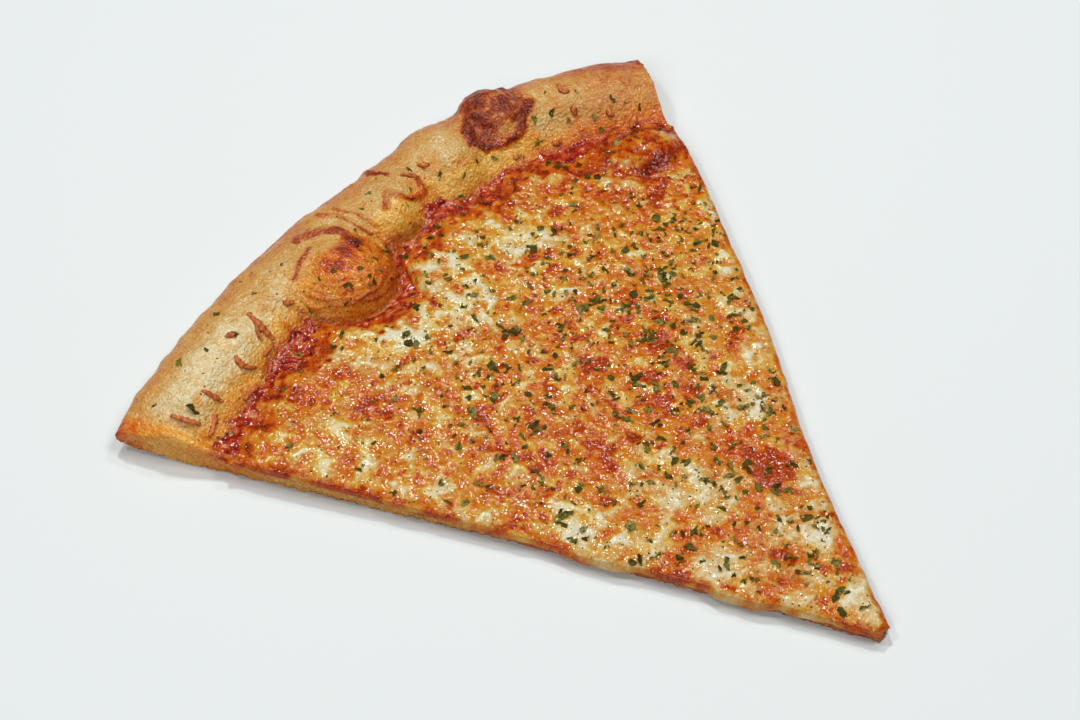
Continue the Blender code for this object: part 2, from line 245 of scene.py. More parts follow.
def dough_bottom(x, y, outside=None):
    if outside is None:
        radius, degrees = polar(x, y)
        outside = outer_radius(degrees) - radius
    round_up = 1.0 - np.clip(outside / RIM_UNDERCUT, 0.0, 1.0)
    z = RIM_WIDEST_Z * (1.0 - np.sqrt(1.0 - round_up * round_up))
    return z + corner_lift(x, y) * (1.0 - z / RIM_WIDEST_Z)


def drip(radius):
    """1 in the middle of a run of cheese over the left cut, and 0 between the runs."""
    return np.maximum.reduce([1.0 - smooth(0.35, 1.0, np.abs(radius - at) / half) for at, half in DRIPS])


def plan_centre():
    """Middle of the slice's box in the plan, which is the frame's zero."""
    ends = [cut_angle(side, outer_radius(cut_angle(side, PIZZA_RADIUS))) for side in (-1, 1)]
    turns = np.linspace(ends[0], ends[1], 400)
    xs, ys = plan(outer_radius(turns), turns)
    return (xs.min() + xs.max()) / 2.0, (plan(TIP_CUT, RIGHT_ANGLE)[1] + ys.max()) / 2.0


CENTRE_X, CENTRE_Y = plan_centre()


def mm(length):
    """A setting's length in metres as millimetres."""
    return round(length / MM, 4)


def to_frame(points):
    """Plan coordinates in millimetres to the frame's metres."""
    return (np.asarray(points, float) - (CENTRE_X, CENTRE_Y, 0.0)) * MM


def seen(points):
    """Where points lie in the slanted plan in which the marks on the food are placed."""
    x, y, z = points.T
    lean = MARK_SLANT * (z - MARK_LEVEL)
    return x + lean - MARK_SHIFT[0], y + lean - MARK_SHIFT[1]


# ---------------------------------------------------------------- meshes


class Patchwork:
    """Patches of triangles and quads with a few numbers for each point, sewn together where they meet."""

    def __init__(self):
        self.points, self.faces, self.values, self.count = [], [], [], 0

    def add(self, points, faces, **values):
        points = np.asarray(points, float)
        self.points.append(points)
        self.faces += [[i + self.count for i in face] for face in faces]
        self.values.append({k: np.broadcast_to(np.asarray(v, float), len(points)) for k, v in values.items()})
        self.count += len(points)

    def sewn(self):
        points = np.concatenate(self.points)
        keys = np.round(points * 500.0).astype(np.int64)
        _, first, back = np.unique(keys, axis=0, return_index=True, return_inverse=True)
        back = back.ravel()
        faces = []
        for face in self.faces:
            corners = list(dict.fromkeys(int(back[i]) for i in face))
            if len(corners) > 2:
                faces.append(corners)
        values = {}
        for name in {k for v in self.values for k in v}:
            joined = np.concatenate([v.get(name, np.zeros(len(p))) for v, p in zip(self.values, self.points)])
            values[name] = np.zeros(len(first))
            np.maximum.at(values[name], back, joined)
        return points[first], faces, values


def grid_faces(rows, columns):
    faces = []
    for j in range(rows - 1):
        for i in range(columns - 1):
            a = j * columns + i
            faces.append((a, a + 1, a + columns + 1, a + columns))
    return faces


def fill(edge, inner):
    """Triangles over a flat outline, given anticlockwise, and the points inside it."""
    flat = np.concatenate([edge, inner]) if len(inner) else np.asarray(edge)
    points = [Vector(p) for p in flat.tolist()]
    made, _, faces, _, _, inside = delaunay_2d_cdt(points, [], [list(range(len(edge)))], 1, 1e-6, True)
    if len(made) != len(points):
        raise RuntimeError("points of an outline lie on each other")
    return [face for face, kept in zip(faces, inside) if kept]


def lattice(step, keep, box, seed=3):
    """A slightly shaken triangular lattice of the points of a box for which keep(x, y) holds."""
    xs, ys = np.meshgrid(np.arange(box[0], box[1], step), np.arange(box[2], box[3], step * 0.866))
    xs = xs + 0.5 * step * (np.arange(xs.shape[0]) % 2)[:, None]
    shake = np.random.default_rng(seed).uniform(-0.16, 0.16, (2, *xs.shape)) * step
    xs, ys = (xs + shake[0]).ravel(), (ys + shake[1]).ravel()
    kept = keep(xs, ys)
    return np.stack([xs[kept], ys[kept]], 1)


PLAN_BOX = (-130.0, 136.0, 0.0, 266.0)


def normals_of(points, faces):
    """Unit normals of the points of a mesh, from the faces around each."""
    corners = np.array([(f[0], f[1], f[2]) for f in faces] + [(f[0], f[2], f[3]) for f in faces if len(f) > 3])
    a, b, c = points[corners[:, 0]], points[corners[:, 1]], points[corners[:, 2]]
    across = np.cross(b - a, c - a)
    normals = np.zeros_like(points)
    for i in range(3):
        np.add.at(normals, corners[:, i], across)
    return normals / np.maximum(np.linalg.norm(normals, axis=1, keepdims=True), 1e-12)


def outward(points, faces):
    """The same faces, all turned outwards."""
    bm = bmesh.new()
    verts = [bm.verts.new(p) for p in points.tolist()]
    for face in faces:
        try:
            bm.faces.new([verts[i] for i in face])
        except ValueError:
            pass
    bmesh.ops.recalc_face_normals(bm, faces=bm.faces)
    bm.verts.index_update()
    turned = [[v.index for v in face.verts] for face in bm.faces]
    bm.free()
    return turned


def make_object(name, points, faces, values, material):
    """A finished piece that rides on the slice's only body."""
    mesh = bpy.data.meshes.new(name)
    mesh.from_pydata(to_frame(points).tolist(), [], faces)
    for key, numbers in values.items():
        attribute = mesh.attributes.new(key, "FLOAT", "POINT")
        attribute.data.foreach_set("value", np.asarray(numbers, np.float32))
    mesh.shade_smooth()
    mesh.materials.append(material)
    piece = bpy.data.objects.new(name, mesh)
    bpy.context.scene.collection.objects.link(piece)
    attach(piece, "root")
    return piece


# ---------------------------------------------------------------- materials


def colour(text):
    """An sRGB hex colour as linear red, green, blue and alpha."""
    parts = [int(text[i : i + 2], 16) / 255.0 for i in (1, 3, 5)]
    return [c / 12.92 if c <= 0.04045 else ((c + 0.055) / 1.055) ** 2.4 for c in parts] + [1.0]


def per(mm):
    """Scale of a pattern whose features repeat every given number of millimetres."""
    return 1000.0 / mm


def add(tree, kind, inputs=None, **settings):
    """A node with its settings, the values of its inputs and the links into them."""
    node = tree.nodes.new(kind)
    for key, value in settings.items():
        setattr(node, key, value)
    for key, value in (inputs or {}).items():
        socket = node.inputs[key]
        if isinstance(value, bpy.types.NodeSocket):
            tree.links.new(value, socket)
        else:
            socket.default_value = value
    return node


def ramp(tree, value, stops):
    """A colour ramp: pairs of a place and a colour, which is a hex text or linear numbers."""
    node = add(tree, "ShaderNodeValToRGB", {"Fac": value})
    elements = node.color_ramp.elements
    while len(elements) < len(stops):
        elements.new(1.0)
    for element, (place, tint) in zip(elements, stops):
        element.position = place
        element.color = colour(tint) if isinstance(tint, str) else tint
    return node.outputs["Color"]


def maths(tree, operation, a, b=0.0, c=0.0, clamp=False):
    inputs = {0: a, 1: b}
    if operation == "MULTIPLY_ADD":
        inputs[2] = c
    return add(tree, "ShaderNodeMath", inputs, operation=operation, use_clamp=clamp).outputs[0]


def blend(tree, share, a, b, kind="MIX"):
    node = add(tree, "ShaderNodeMix", {0: share, 6: a, 7: b}, data_type="RGBA", blend_type=kind)
    return node.outputs[2]


def start_material(name):
    material = bpy.data.materials.new(name)
    material.use_nodes = True
    material.node_tree.nodes.clear()
    tree = material.node_tree
    place = add(tree, "ShaderNodeTexCoord").outputs["Object"]
    return material, tree, place


def attribute(tree, name):
    return add(tree, "ShaderNodeAttribute", attribute_name=name, attribute_type="GEOMETRY").outputs["Fac"]


def speckle(tree, place, mm, detail=2.0, rough=0.5):
    """Noise from 0 to 1 with features of a size in millimetres."""
    inputs = {"Vector": place, "Scale": per(mm), "Detail": detail, "Roughness": rough}
    return add(tree, "ShaderNodeTexNoise", inputs).outputs["Fac"]


def finish_material(tree, shader):
    add(tree, "ShaderNodeOutputMaterial", {"Surface": shader})


def baked_dough(settings):
    """Baked wheat dough: matt and floury where pale, a little oily where brown, with a rough crumb where cut."""
    material, tree, place = start_material("baked wheat dough")
    broad = maths(tree, "SUBTRACT", speckle(tree, place, 2.6, 3.0), 0.5)
    grain = maths(tree, "SUBTRACT", speckle(tree, place, 0.7, 2.0, 0.6), 0.5)
    bake = maths(tree, "MULTIPLY_ADD", broad, 0.36, attribute(tree, "bake"))
    bake = maths(tree, "MULTIPLY_ADD", grain, 0.70, bake)
    dry = ramp(
        tree,
        bake,
        [
            (0.0, settings.pale), (0.15, "#D3B174"), (0.3, settings.golden), (0.45, "#C68644"), (0.6, "#B65C22"),
            (0.75, "#A03E0C"), (0.88, "#862E08"), (1.0, settings.burnt),
        ],
    )
    oily = ramp(
        tree,
        bake,
        [
            (0.0, "#E8BE66"), (0.2, settings.oily), (0.4, "#D4721C"), (0.55, "#C04E10"), (0.7, "#9C300C"),
            (0.85, "#6A1C0A"), (1.0, "#3E0E08"),
        ],
    )
    skin = blend(tree, attribute(tree, "oil"), dry, oily)
    crumb = ramp(
        tree,
        speckle(tree, place, 1.1, 4.0, 0.65),
        [(0.25, "#AC5E1C"), (0.42, "#CC8834"), (0.6, settings.crumb), (0.8, "#ECCC8C")],
    )
    skin = blend(tree, attribute(tree, "cut"), skin, crumb)
    sauce = ramp(tree, speckle(tree, place, 1.6, 3.0), [(0.3, "#86200A"), (0.5, "#AA3C10"), (0.7, "#C06A20")])
    skin = blend(tree, attribute(tree, "stain"), skin, sauce)
    gloss = maths(tree, "MULTIPLY_ADD", attribute(tree, "oil"), -0.12, 0.32)
    bumps = maths(tree, "MULTIPLY_ADD", speckle(tree, place, 0.9, 0.0), 0.7, speckle(tree, place, 1.9, 1.0))
    bump = add(tree, "ShaderNodeBump", {"Height": bumps, "Strength": 1.0, "Distance": 0.0006})
    shader = add(
        tree,
        "ShaderNodeBsdfPrincipled",
        {
            "Base Color": skin, "Roughness": gloss, "Normal": bump.outputs[0], "Subsurface Weight": 0.10,
            "Subsurface Radius": (1.0, 0.5, 0.2), "Subsurface Scale": 0.0010, "IOR": 1.45,
            "Specular IOR Level": 0.4,
        },
    )
    finish_material(tree, shader.outputs[0])
    return material


def tomato_sauce(settings):
    """Cooked tomato sauce: deep red, wet and pulpy, with orange oil and bits of pale pink cheese in it."""
    material, tree, place = start_material("cooked tomato sauce")
    pulp = speckle(tree, place, 3.4, 3.0, 0.6)
    grain = maths(tree, "SUBTRACT", speckle(tree, place, 0.9, 2.0), 0.5)
    tone = maths(tree, "MULTIPLY_ADD", grain, 0.30, pulp)
    red = ramp(
        tree,
        tone,
        [
            (0.24, "#4A0A06"), (0.36, "#74120A"), (0.46, settings.red), (0.54, "#B03C14"), (0.62, "#BE5E34"),
            (0.70, "#CC8C6A"), (0.82, "#DCB89C"),
        ],
    )
    bumps = maths(tree, "MULTIPLY_ADD", speckle(tree, place, 1.4, 0.0), 0.4, speckle(tree, place, 3.0, 0.0))
    bump = add(tree, "ShaderNodeBump", {"Height": bumps, "Strength": 1.0, "Distance": 0.0007})
    shader = add(
        tree,
        "ShaderNodeBsdfPrincipled",
        {"Base Color": red, "Roughness": 0.16, "Normal": bump.outputs[0], "IOR": 1.4, "Specular IOR Level": 0.45},
    )
    finish_material(tree, shader.outputs[0])
    return material


def melted_cheese(settings):
    """Melted mozzarella: creamy where thick, orange with oil where thin, and red where the sauce comes through."""
    material, tree, place = start_material("melted mozzarella")
    broad = speckle(tree, place, 1.5, 3.0, 0.55)
    grain = speckle(tree, place, 0.55, 2.0)
    heat = maths(tree, "MULTIPLY_ADD", maths(tree, "SUBTRACT", broad, 0.5), 0.42, attribute(tree, "toast"))
    heat = maths(tree, "MULTIPLY_ADD", maths(tree, "SUBTRACT", grain, 0.5), 0.42, heat)
    cheese = ramp(
        tree,
        heat,
        [
            (0.0, settings.cream), (0.1, "#D6B86E"), (0.25, "#D0A242"), (0.42, settings.golden), (0.58, "#C87216"),
            (0.7, settings.orange), (0.8, settings.red), (0.9, "#862004"), (1.0, "#4C0E02"),
        ],
    )
    milk = ramp(
        tree,
        heat,
        [
            (0.0, settings.milk), (0.2, "#D2C6A2"), (0.4, "#C8A464"), (0.55, "#BE7A2E"), (0.7, "#AE4612"),
            (0.85, "#7E1E06"), (1.0, "#520E06"),
        ],
    )
    share = maths(tree, "MULTIPLY", attribute(tree, "milk"), 0.5)
    cheese = blend(tree, share, cheese, milk)
    gloss = maths(tree, "MULTIPLY_ADD", speckle(tree, place, 4.0, 2.0), 0.60, -0.14)
    bumps = maths(tree, "MULTIPLY_ADD", speckle(tree, place, 0.9, 0.0), 0.4, speckle(tree, place, 1.7, 0.0))
    bump = add(tree, "ShaderNodeBump", {"Height": bumps, "Strength": 1.0, "Distance": 0.00042})
    shader = add(
        tree,
        "ShaderNodeBsdfPrincipled",
        {
            "Base Color": cheese, "Roughness": gloss, "Normal": bump.outputs[0], "Subsurface Weight": 0.15,
            "Subsurface Radius": (1.0, 0.5, 0.2), "Subsurface Scale": 0.0008, "IOR": 1.46,
            "Specular IOR Level": 0.38,
        },
    )
    finish_material(tree, shader.outputs[0])
    return material


# ---------------------------------------------------------------- crust

# Runs of browned or charred skin on the rim, in the slanted plan: points of a bent line, width and strength. The dark
# lip from (54, 243) round the lower front of the dark blister to (80, 238) is browned skin and painted shade under its
# overhang.
BROWN_AND_SHADE_STROKES = (
    (((-36, 232), (-30, 236), (-23, 239)), 1.2, 0.42),
    (((-24, 245), (-17, 243), (-11, 239), (-10, 230)), 2.4, 0.50),
    (((-11, 249), (-6, 243), (-4, 230)), 0.9, 0.36),
    (((-5, 247), (-1, 240), (0, 232)), 0.9, 0.34),
    (((8, 235), (13, 240), (17, 232), (23, 232), (25, 238)), 1.4, 0.44),
    (((15, 252), (19, 247)), 1.5, 0.38),
    (((54, 243), (51, 238), (53, 232), (60, 229), (67, 230), (73, 234), (80, 238)), 2.4, 0.50),
    (((60, 240), (63, 245), (59, 248), (55, 245)), 1.4, 0.30),
)
# Baked patches of the rim, in the slanted plan: centre, half width, half height, strength. The patch at (74, 240) is
# partly painted shade: the side of the dark blister under its cap.
BAKED_AND_SHADE_PATCHES = (
    (71.0, 249.0, 12.0, 8.0, 0.38), (56.5, 239.0, 7.0, 8.0, 0.40), (74.0, 240.0, 8.0, 6.0, 0.36),
    (66.0, 242.0, 15.0, 14.0, 0.18), (-18.0, 228.0, 11.0, 6.0, 0.38), (-22.0, 213.0, 17.0, 11.0, 0.08),
    (18.0, 229.0, 8.0, 6.0, 0.16), (14.5, 229.0, 3.6, 3.0, -0.20), (124.0, 235.0, 6.0, 7.0, 0.26),
    (44.0, 243.0, 9.0, 10.0, -0.08), (93.7, 235.7, 2.0, 3.0, 0.24), (77.0, 226.0, 10.0, 9.0, -0.06),
    (-80.0, 222.0, 34.0, 9.0, -0.10), (6.0, 239.0, 7.0, 7.0, -0.06),
)
ORANGE_ARCS = ((-21.0, 228.0), (9.0, 12.0, 15.0, 18.0, 21.0))   # middle of the wrinkled bubble, radii of its arcs


def stroke(x, y, line):
    """Distance of points from a bent line."""
    best = np.full(np.shape(x), 1e9)
    for (ax, ay), (bx, by) in zip(line, line[1:]):
        dx, dy = bx - ax, by - ay
        share = np.clip(((x - ax) * dx + (y - ay) * dy) / (dx * dx + dy * dy), 0.0, 1.0)
        best = np.minimum(best, np.hypot(x - ax - share * dx, y - ay - share * dy))
    return best


def push_out(points, bubbles, weight):
    """Pushes points out to the skin of the bubbles they lie in, more softly at its foot."""
    for bx, by, bz, size, rise, soft in bubbles:
        half = np.array([size, size, rise])
        away = (points - (bx, by, bz)) / half
        distance = np.maximum(np.linalg.norm(away, axis=1), 1e-6)
        reach = soft_max(distance, 1.0, soft)
        moved = (bx, by, bz) + away * (reach / distance)[:, None] * half
        points = mix(points, moved, weight[:, None])
    return points


def rim_rows(step):
    """Rows of the rim as (outside distance, whether on the upper side, share of the way in to the slab)."""
    rows = [(RIM_UNDERCUT * (1.0 - math.cos(t)), False) for t in np.linspace(math.pi / 2.0, 0.0, 14)]
    count = round(1.22 * RIM_CREST / step)
    rows += [(RIM_CREST * (1.0 - math.cos(t)), True) for t in np.linspace(0.0, math.pi / 2.0, count)[1:]]
    rows += [(d, True) for d in np.arange(RIM_CREST + step, FINE_RIM, step)]
    return rows


def rim_grid(step):
    """Points of the rim from its underside round the outer edge and in to the slab, row by row."""
    ends = [cut_angle(side, outer_radius(cut_angle(side, PIZZA_RADIUS))) for side in (-1, 1)]
    across = np.linspace(0.0, 1.0, round(math.radians(ends[1] - ends[0]) * PIZZA_RADIUS / step))
    edge = outer_radius(mix(ends[0], ends[1], across))
    rows, upper = [], []
    for outside, on_top in rim_rows(step):
        radius = edge - outside
        x, y = plan(radius, mix(cut_angle(-1, radius), cut_angle(1, radius), across))
        z = dough_top(x, y, outside) if on_top else dough_bottom(x, y, outside)
        rows.append(np.stack([x, y, z], 1))
        upper.append(np.full(len(x), float(on_top)))
    for share in np.linspace(0.0, 1.0, 4)[1:]:
        radius = mix(edge - FINE_RIM, SLAB_END, share)
        x, y = plan(radius, mix(cut_angle(-1, radius), cut_angle(1, radius), across))
        rows.append(np.stack([x, y, dough_top(x, y)], 1))
        upper.append(np.ones(len(x)))
    return np.array(rows), np.array(upper)


def cut_line(side, radii, height):
    x, y = plan(radii, cut_angle(side, radii))
    return np.stack([x, y, np.broadcast_to(height, x.shape)], 1)


def crust_body(step):
    """The dough as one closed body, with fine points on the rim and on the cut faces."""
    body = Patchwork()
    rows, upper = rim_grid(step)
    flat = rows.reshape(-1, 3)
    body.add(flat, grid_faces(*rows.shape[:2]), upper=upper.ravel())
    slab = np.arange(TIP_CUT, SLAB_END - step * 0.5, step * 1.2)
    tips, inner = [], rows[-1]
    upper_lines, lower_lines = {}, {}
    for side, column in ((-1, 0), (1, -1)):
        upper_lines[side] = cut_line(side, slab, base_height(slab))
        under_end = np.hypot(*rows[0, column, :2])
        under = np.arange(TIP_CUT, under_end - step * 0.6, step * 1.2)
        lower_lines[side] = cut_line(side, under, 0.0)
        lower_lines[side][:, 2] = dough_bottom(lower_lines[side][:, 0], lower_lines[side][:, 1])

    def within(room, limit):
        def keep(x, y):
            radius, degrees = polar(x, y)
            near = np.minimum(cut_distance(-1, x, y), cut_distance(1, x, y))
            return (near > room) & (radius > TIP_CUT + room) & (radius < limit(degrees) - room)

        return keep

    # The flat top of the slab, hidden below the sauce, and the underside.
    across = np.linspace(0.0, 1.0, 9)[1:-1, None]
    upper_tip = mix(upper_lines[-1][0], upper_lines[1][0], across)
    lower_tip = mix(lower_lines[-1][0], lower_lines[1][0], across)
    edge = np.concatenate([upper_lines[1], inner[::-1], upper_lines[-1][::-1], upper_tip])
    points = lattice(7.0, within(3.0, lambda turn: SLAB_END), PLAN_BOX)
    top = np.column_stack([points, base_height(np.hypot(*points.T))])
    body.add(np.concatenate([edge, top]), fill(edge[:, :2], points), upper=1.0)
    edge = np.concatenate([lower_lines[1], rows[0][::-1], lower_lines[-1][::-1], lower_tip])
    points = lattice(2.4, within(1.6, lambda turn: outer_radius(turn) - RIM_UNDERCUT), PLAN_BOX)
    bottom = np.column_stack([points, dough_bottom(*points.T)])
    body.add(np.concatenate([edge, bottom]), fill(edge[:, :2], points))

    # The two cut faces and the blunt tip.
    for side, column in ((-1, 0), (1, -1)):
        rim = rows[:, column]
        ring = np.concatenate([lower_lines[side], rim, upper_lines[side][::-1]])
        low, high = lower_lines[side][0], upper_lines[side][0]
        tip = [mix(low, high, share) for share in np.linspace(1.0, 0.0, 6)[1:-1]]
        ring = np.concatenate([ring, tip])
        flat_ring = np.column_stack([np.hypot(ring[:, 0], ring[:, 1]), ring[:, 2]])

        def within_face(r, z, side=side):
            x, y = plan(r, cut_angle(side, r))
            outside = outer_radius(cut_angle(side, r)) - r
            room = step * 0.55
            high = dough_top(x, y, outside) - room
            low = dough_bottom(x, y, outside) + room
            return (z > low) & (z < high) & (r > TIP_CUT + room) & (outside > room * 1.4)

        inner_points = lattice(step, within_face, (0.0, 262.0, 0.0, 20.0))
        faces = fill(flat_ring, inner_points)
        x, y = plan(inner_points[:, 0], cut_angle(side, inner_points[:, 0]))
        body.add(np.concatenate([ring, np.column_stack([x, y, inner_points[:, 1]])]), faces, cut=1.0)
        tips.append(np.array([low, *tip[::-1], high]))
    across = np.linspace(0.0, 1.0, 9)[:, None, None]
    tip = mix(tips[0][None], tips[1][None], across)
    body.add(tip.reshape(-1, 3), grid_faces(9, 6), cut=1.0)
    return body


def roughen_crust(points, faces, values, lump_height):
    """Swells the bubbles, and gives the skin and the cut faces their lumps and pores."""
    cut, upper = values["cut"], values["upper"]
    x, y, z = points.T
    radius, degrees = polar(x, y)
    outside = outer_radius(degrees) - radius
    on_rim = upper * np.where(outside < RIM_CREST, smooth(6.0, 9.0, z), 1.0) * smooth(SLAB_END, SLAB_END + 4.0, radius)
    points = push_out(points, RIM_BUBBLES, on_rim)
    normals = normals_of(points, faces)
    x, y, z = points.T
    skin = on_rim * (1.0 - cut)
    lumps = 0.55 * noise(x, y, z, 14.0, 11) + 0.32 * noise(x, y, z, 5.0, 12) + 0.13 * noise(x, y, z, 1.8, 13, 2)
    sx, sy = seen(points)
    (ax, ay), radii = ORANGE_ARCS
    from_arcs = np.hypot(sx - ax, (sy - ay) * 1.05) + 0.9 * noise(sx, sy, 0.0, 7.0, 14)
    front = smooth(2.0, -6.0, sy - ay) * smooth(25.0, 21.0, from_arcs) * smooth(5.0, 8.0, from_arcs)
    arcs = sum(bell(from_arcs - r, 0.9) for r in radii) * front
    ridges = sum(bell(stroke(sx, sy, line), width * 0.7) * 0.7 for line, width, _ in BROWN_AND_SHADE_STROKES)
    lip = bell(cut_distance(-1, x, y) - 2.0, 1.9) * smooth(196.0, 206.0, radius) * smooth(244.0, 236.0, radius)
    crease = bell(cut_distance(-1, x, y) - 5.2, 1.1) * smooth(200.0, 208.0, radius) * smooth(240.0, 232.0, radius)
    bx, by, _, size, _, _ = DARK_BLISTER
    on_blister = smooth(size * 1.1, size * 0.7, np.hypot(x - bx, y - by))
    lumps = lumps + on_blister * (0.7 * noise(x, y, z, 6.0, 18, 2) + 0.3 * noise(x, y, z, 2.2, 19))
    rise = skin * (lumps * lump_height + 0.7 * arcs + ridges + 1.5 * lip - 0.9 * crease)
    pores = noise(x, y, z, 2.6, 15, 2)
    fine = noise(x, y, z, 0.9, 16)
    face = cut * (0.34 * pores + 0.26 * fine - 0.42)
    under = (1.0 - upper) * (1.0 - cut) * smooth(2.0, 0.4, z) * -0.25 * np.abs(noise(x, y, z, 9.0, 17, 2))
    points = points + normals * (rise + face)[:, None]
    points[:, 2] -= under
    points[:, 2] = np.maximum(points[:, 2], 0.0)
    return points, dict(arcs=arcs, ridges=ridges, lip=lip, crease=crease, outside=outside)


def crust_values(points, values, marks):
    """How baked, oily and stained each point of the crust is."""
    cut, upper = values["cut"], values["upper"]
    x, y, z = points.T
    sx, sy = seen(points)
    radius, degrees = polar(x, y)
    outside = marks["outside"]
    n_broad, n_mid, n_fine = noise(x, y, z, 16.0, 21, 2), noise(x, y, z, 5.0, 22, 2), noise(x, y, z, 1.6, 23, 2)

    # The outer band is golden brown all along, and the middle of the rim is pale, most of all on the left.
    band = smooth(13.0, 6.0, outside + 2.0 * n_mid)
    bake = 0.155 + 0.09 * smooth(-20.0, -11.0, degrees) + 0.04 * smooth(0.0, 14.0, degrees) + 0.19 * band
    bake += 0.05 * n_broad + 0.07 * n_mid + 0.06 * n_fine
    bake += 0.12 * smooth(3.5, 0.0, outside) + 0.10 * smooth(8.0, 3.0, z) * (1.0 - cut) * upper
    bake += 0.15 * smooth(44.0, 18.0, cut_distance(1, x, y)) + 0.10 * smooth(9.0, 3.0, cut_distance(-1, x, y))
    bake -= 0.08 * marks["lip"] + 0.10 * marks["crease"]
    # Baked patches; the one at (74, 240) also darkens the shaded side under the dark blister's cap as painted shade.
    for px, py, across, along, strength in BAKED_AND_SHADE_PATCHES:
        away = np.hypot((sx - px) / across, (sy - py) / along) + 0.22 * n_mid
        bake += strength * smooth(1.25, 0.55, away) * (1.0 + 0.5 * n_mid + 0.4 * n_fine)
    # Browned runs; the lip round the dark blister is also painted shade under its overhang.
    for line, width, strength in BROWN_AND_SHADE_STROKES:
        ragged = stroke(sx, sy, line) + 0.45 * width * n_fine + 0.6 * n_mid
        bake += strength * smooth(width * 1.1, width * 0.5, ragged) * (1.0 + 0.4 * n_mid)
    bake += 0.20 * marks["arcs"]
    # Painted light: the foot of the rim between the bubbles is made less baked and so paler, standing in for light
    # where it lies in shade; it is also made oily, below.
    painted_light_and_oil = smooth(1.3, 0.5, np.abs((sy - 226.0) / 8.0) + 0.4 * n_mid) * smooth(-6.0, 4.0, sx) * smooth(72.0, 58.0, sx)
    bake -= 0.20 * painted_light_and_oil

    # Orange oil: on the front bubble, below the other bubbles and next to the sauce.
    sauce_side = radius - sauce_radius(degrees)
    shore = smooth(8.0, 0.0, sauce_side + 3.0 * n_mid)
    bake += 0.13 * shore * shore
    oil = 1.1 * smooth(11.0, 1.0, sauce_side + 3.0 * n_mid) + 0.15 * band
    oil += 0.2 * smooth(34.0, 12.0, cut_distance(1, x, y) + 5.0 * n_mid)
    bx, by = FRONT_BUBBLE[:2]
    oil += smooth(22.0, 15.0, np.hypot(x - bx, y - by)) * smooth(240.0, 226.0, sy + 3.0 * n_mid)
    oil += 0.9 * painted_light_and_oil
    oil += 0.5 * smooth(0.2, 0.8, n_mid) * smooth(22.0, 6.0, sauce_side)
    oil += smooth(9.0, 3.0, cut_distance(-1, x, y))
    oil = np.clip(oil, 0.0, 1.0) * np.maximum(upper, cut)

    # Sauce and oil run down over the upper part of the cut faces, and over the foot of the rim.
    top = base_height(radius)
    depth = 1.9 + 2.6 * smooth(165.0, 70.0, radius)
    stain = cut * smooth(depth, 0.3, top - z + 0.8 * n_mid) * smooth(212.0, 196.0, radius) * 0.9
    stain += upper * (1.0 - cut) * smooth(3.0, -1.0, sauce_side + 2.0 * n_mid + n_fine) * 0.85
    below = (1.0 - upper) * (1.0 - cut)
    bake = np.where(below > 0.5, 0.46 + 0.10 * n_broad + 0.12 * n_mid, bake)
    crumb = cut * smooth(0.0, 1.2, z) * (1.0 - 0.9 * smooth(198.0, 214.0, radius))
    values = dict(bake=np.minimum(bake, 0.9), oil=oil, cut=crumb, stain=stain)
    return {name: np.clip(numbers, 0.0, 1.0) for name, numbers in values.items()}


def build_crust(settings):
    body = crust_body(mm(settings.spacing))
    points, faces, values = body.sewn()
    faces = outward(points, faces)
    points, marks = roughen_crust(points, faces, values, mm(settings.lump_height))
    looks = crust_values(points, values, marks)
    piece = make_object("baked_crust", points, faces, looks, baked_dough(settings))
    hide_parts("crust")
    return piece


# ---------------------------------------------------------------- sauce


def layer_outline(radius_at, reach, step, shrink=0.0):
    """The edge of a layer, anticlockwise, moved inwards by shrink. reach(side, radius) is how far it stands
    out from a cut."""
    lines = {}
    for side in (-1, 1):
        end = float(radius_at(cut_angle(side, radius_at(cut_angle(side, PIZZA_RADIUS)))))
        count = max(4, round((end - TIP_CUT) / step))
        radii = np.linspace(TIP_CUT + 0.8 * shrink, end - shrink, count)
        turn = cut_angle(side, radii) + side * np.degrees((reach(side, radii) - shrink) / np.maximum(radii, 8.0))
        lines[side] = np.stack([radii, turn], 1)
    first, last = lines[1][-1, 1], lines[-1][-1, 1]
    count = round(math.radians(RIGHT_ANGLE - LEFT_ANGLE) * PIZZA_RADIUS * 0.9 / step)
    turns = np.linspace(first, last, count)[1:-1]
    arc = np.stack([radius_at(turns) - shrink, turns], 1)
    tip_turns = np.linspace(lines[-1][0, 1], lines[1][0, 1], 8)[1:-1]
    tip = np.stack([np.full(len(tip_turns), TIP_CUT + 0.8 * shrink), tip_turns], 1)
    loop = np.concatenate([lines[1], arc, lines[-1][::-1], tip])
    return np.stack(plan(loop[:, 0], loop[:, 1]), 1)


def inset_line(line, distance):
    """A closed anticlockwise line moved inwards."""
    ahead, behind = np.roll(line, -2, 0), np.roll(line, 2, 0)
    along = ahead - behind
    along /= np.maximum(np.linalg.norm(along, axis=1, keepdims=True), 1e-9)
    return line + distance * np.stack([-along[:, 1], along[:, 0]], 1)


def walls(rows):
    """Quads that join closed rows of points, from the upper row to the lower one."""
    count = len(rows[0])
    faces = []
    for j in range(len(rows) - 1):
        for i in range(count):
            k = (i + 1) % count
            faces.append((j * count + k, j * count + i, (j + 1) * count + i, (j + 1) * count + k))
    return np.concatenate(rows), faces


def sauce_reach(side, radius):
    return -0.5 + 0.35 * noise(radius, 7.0 * side, 0.0, 4.0, 31, 2)


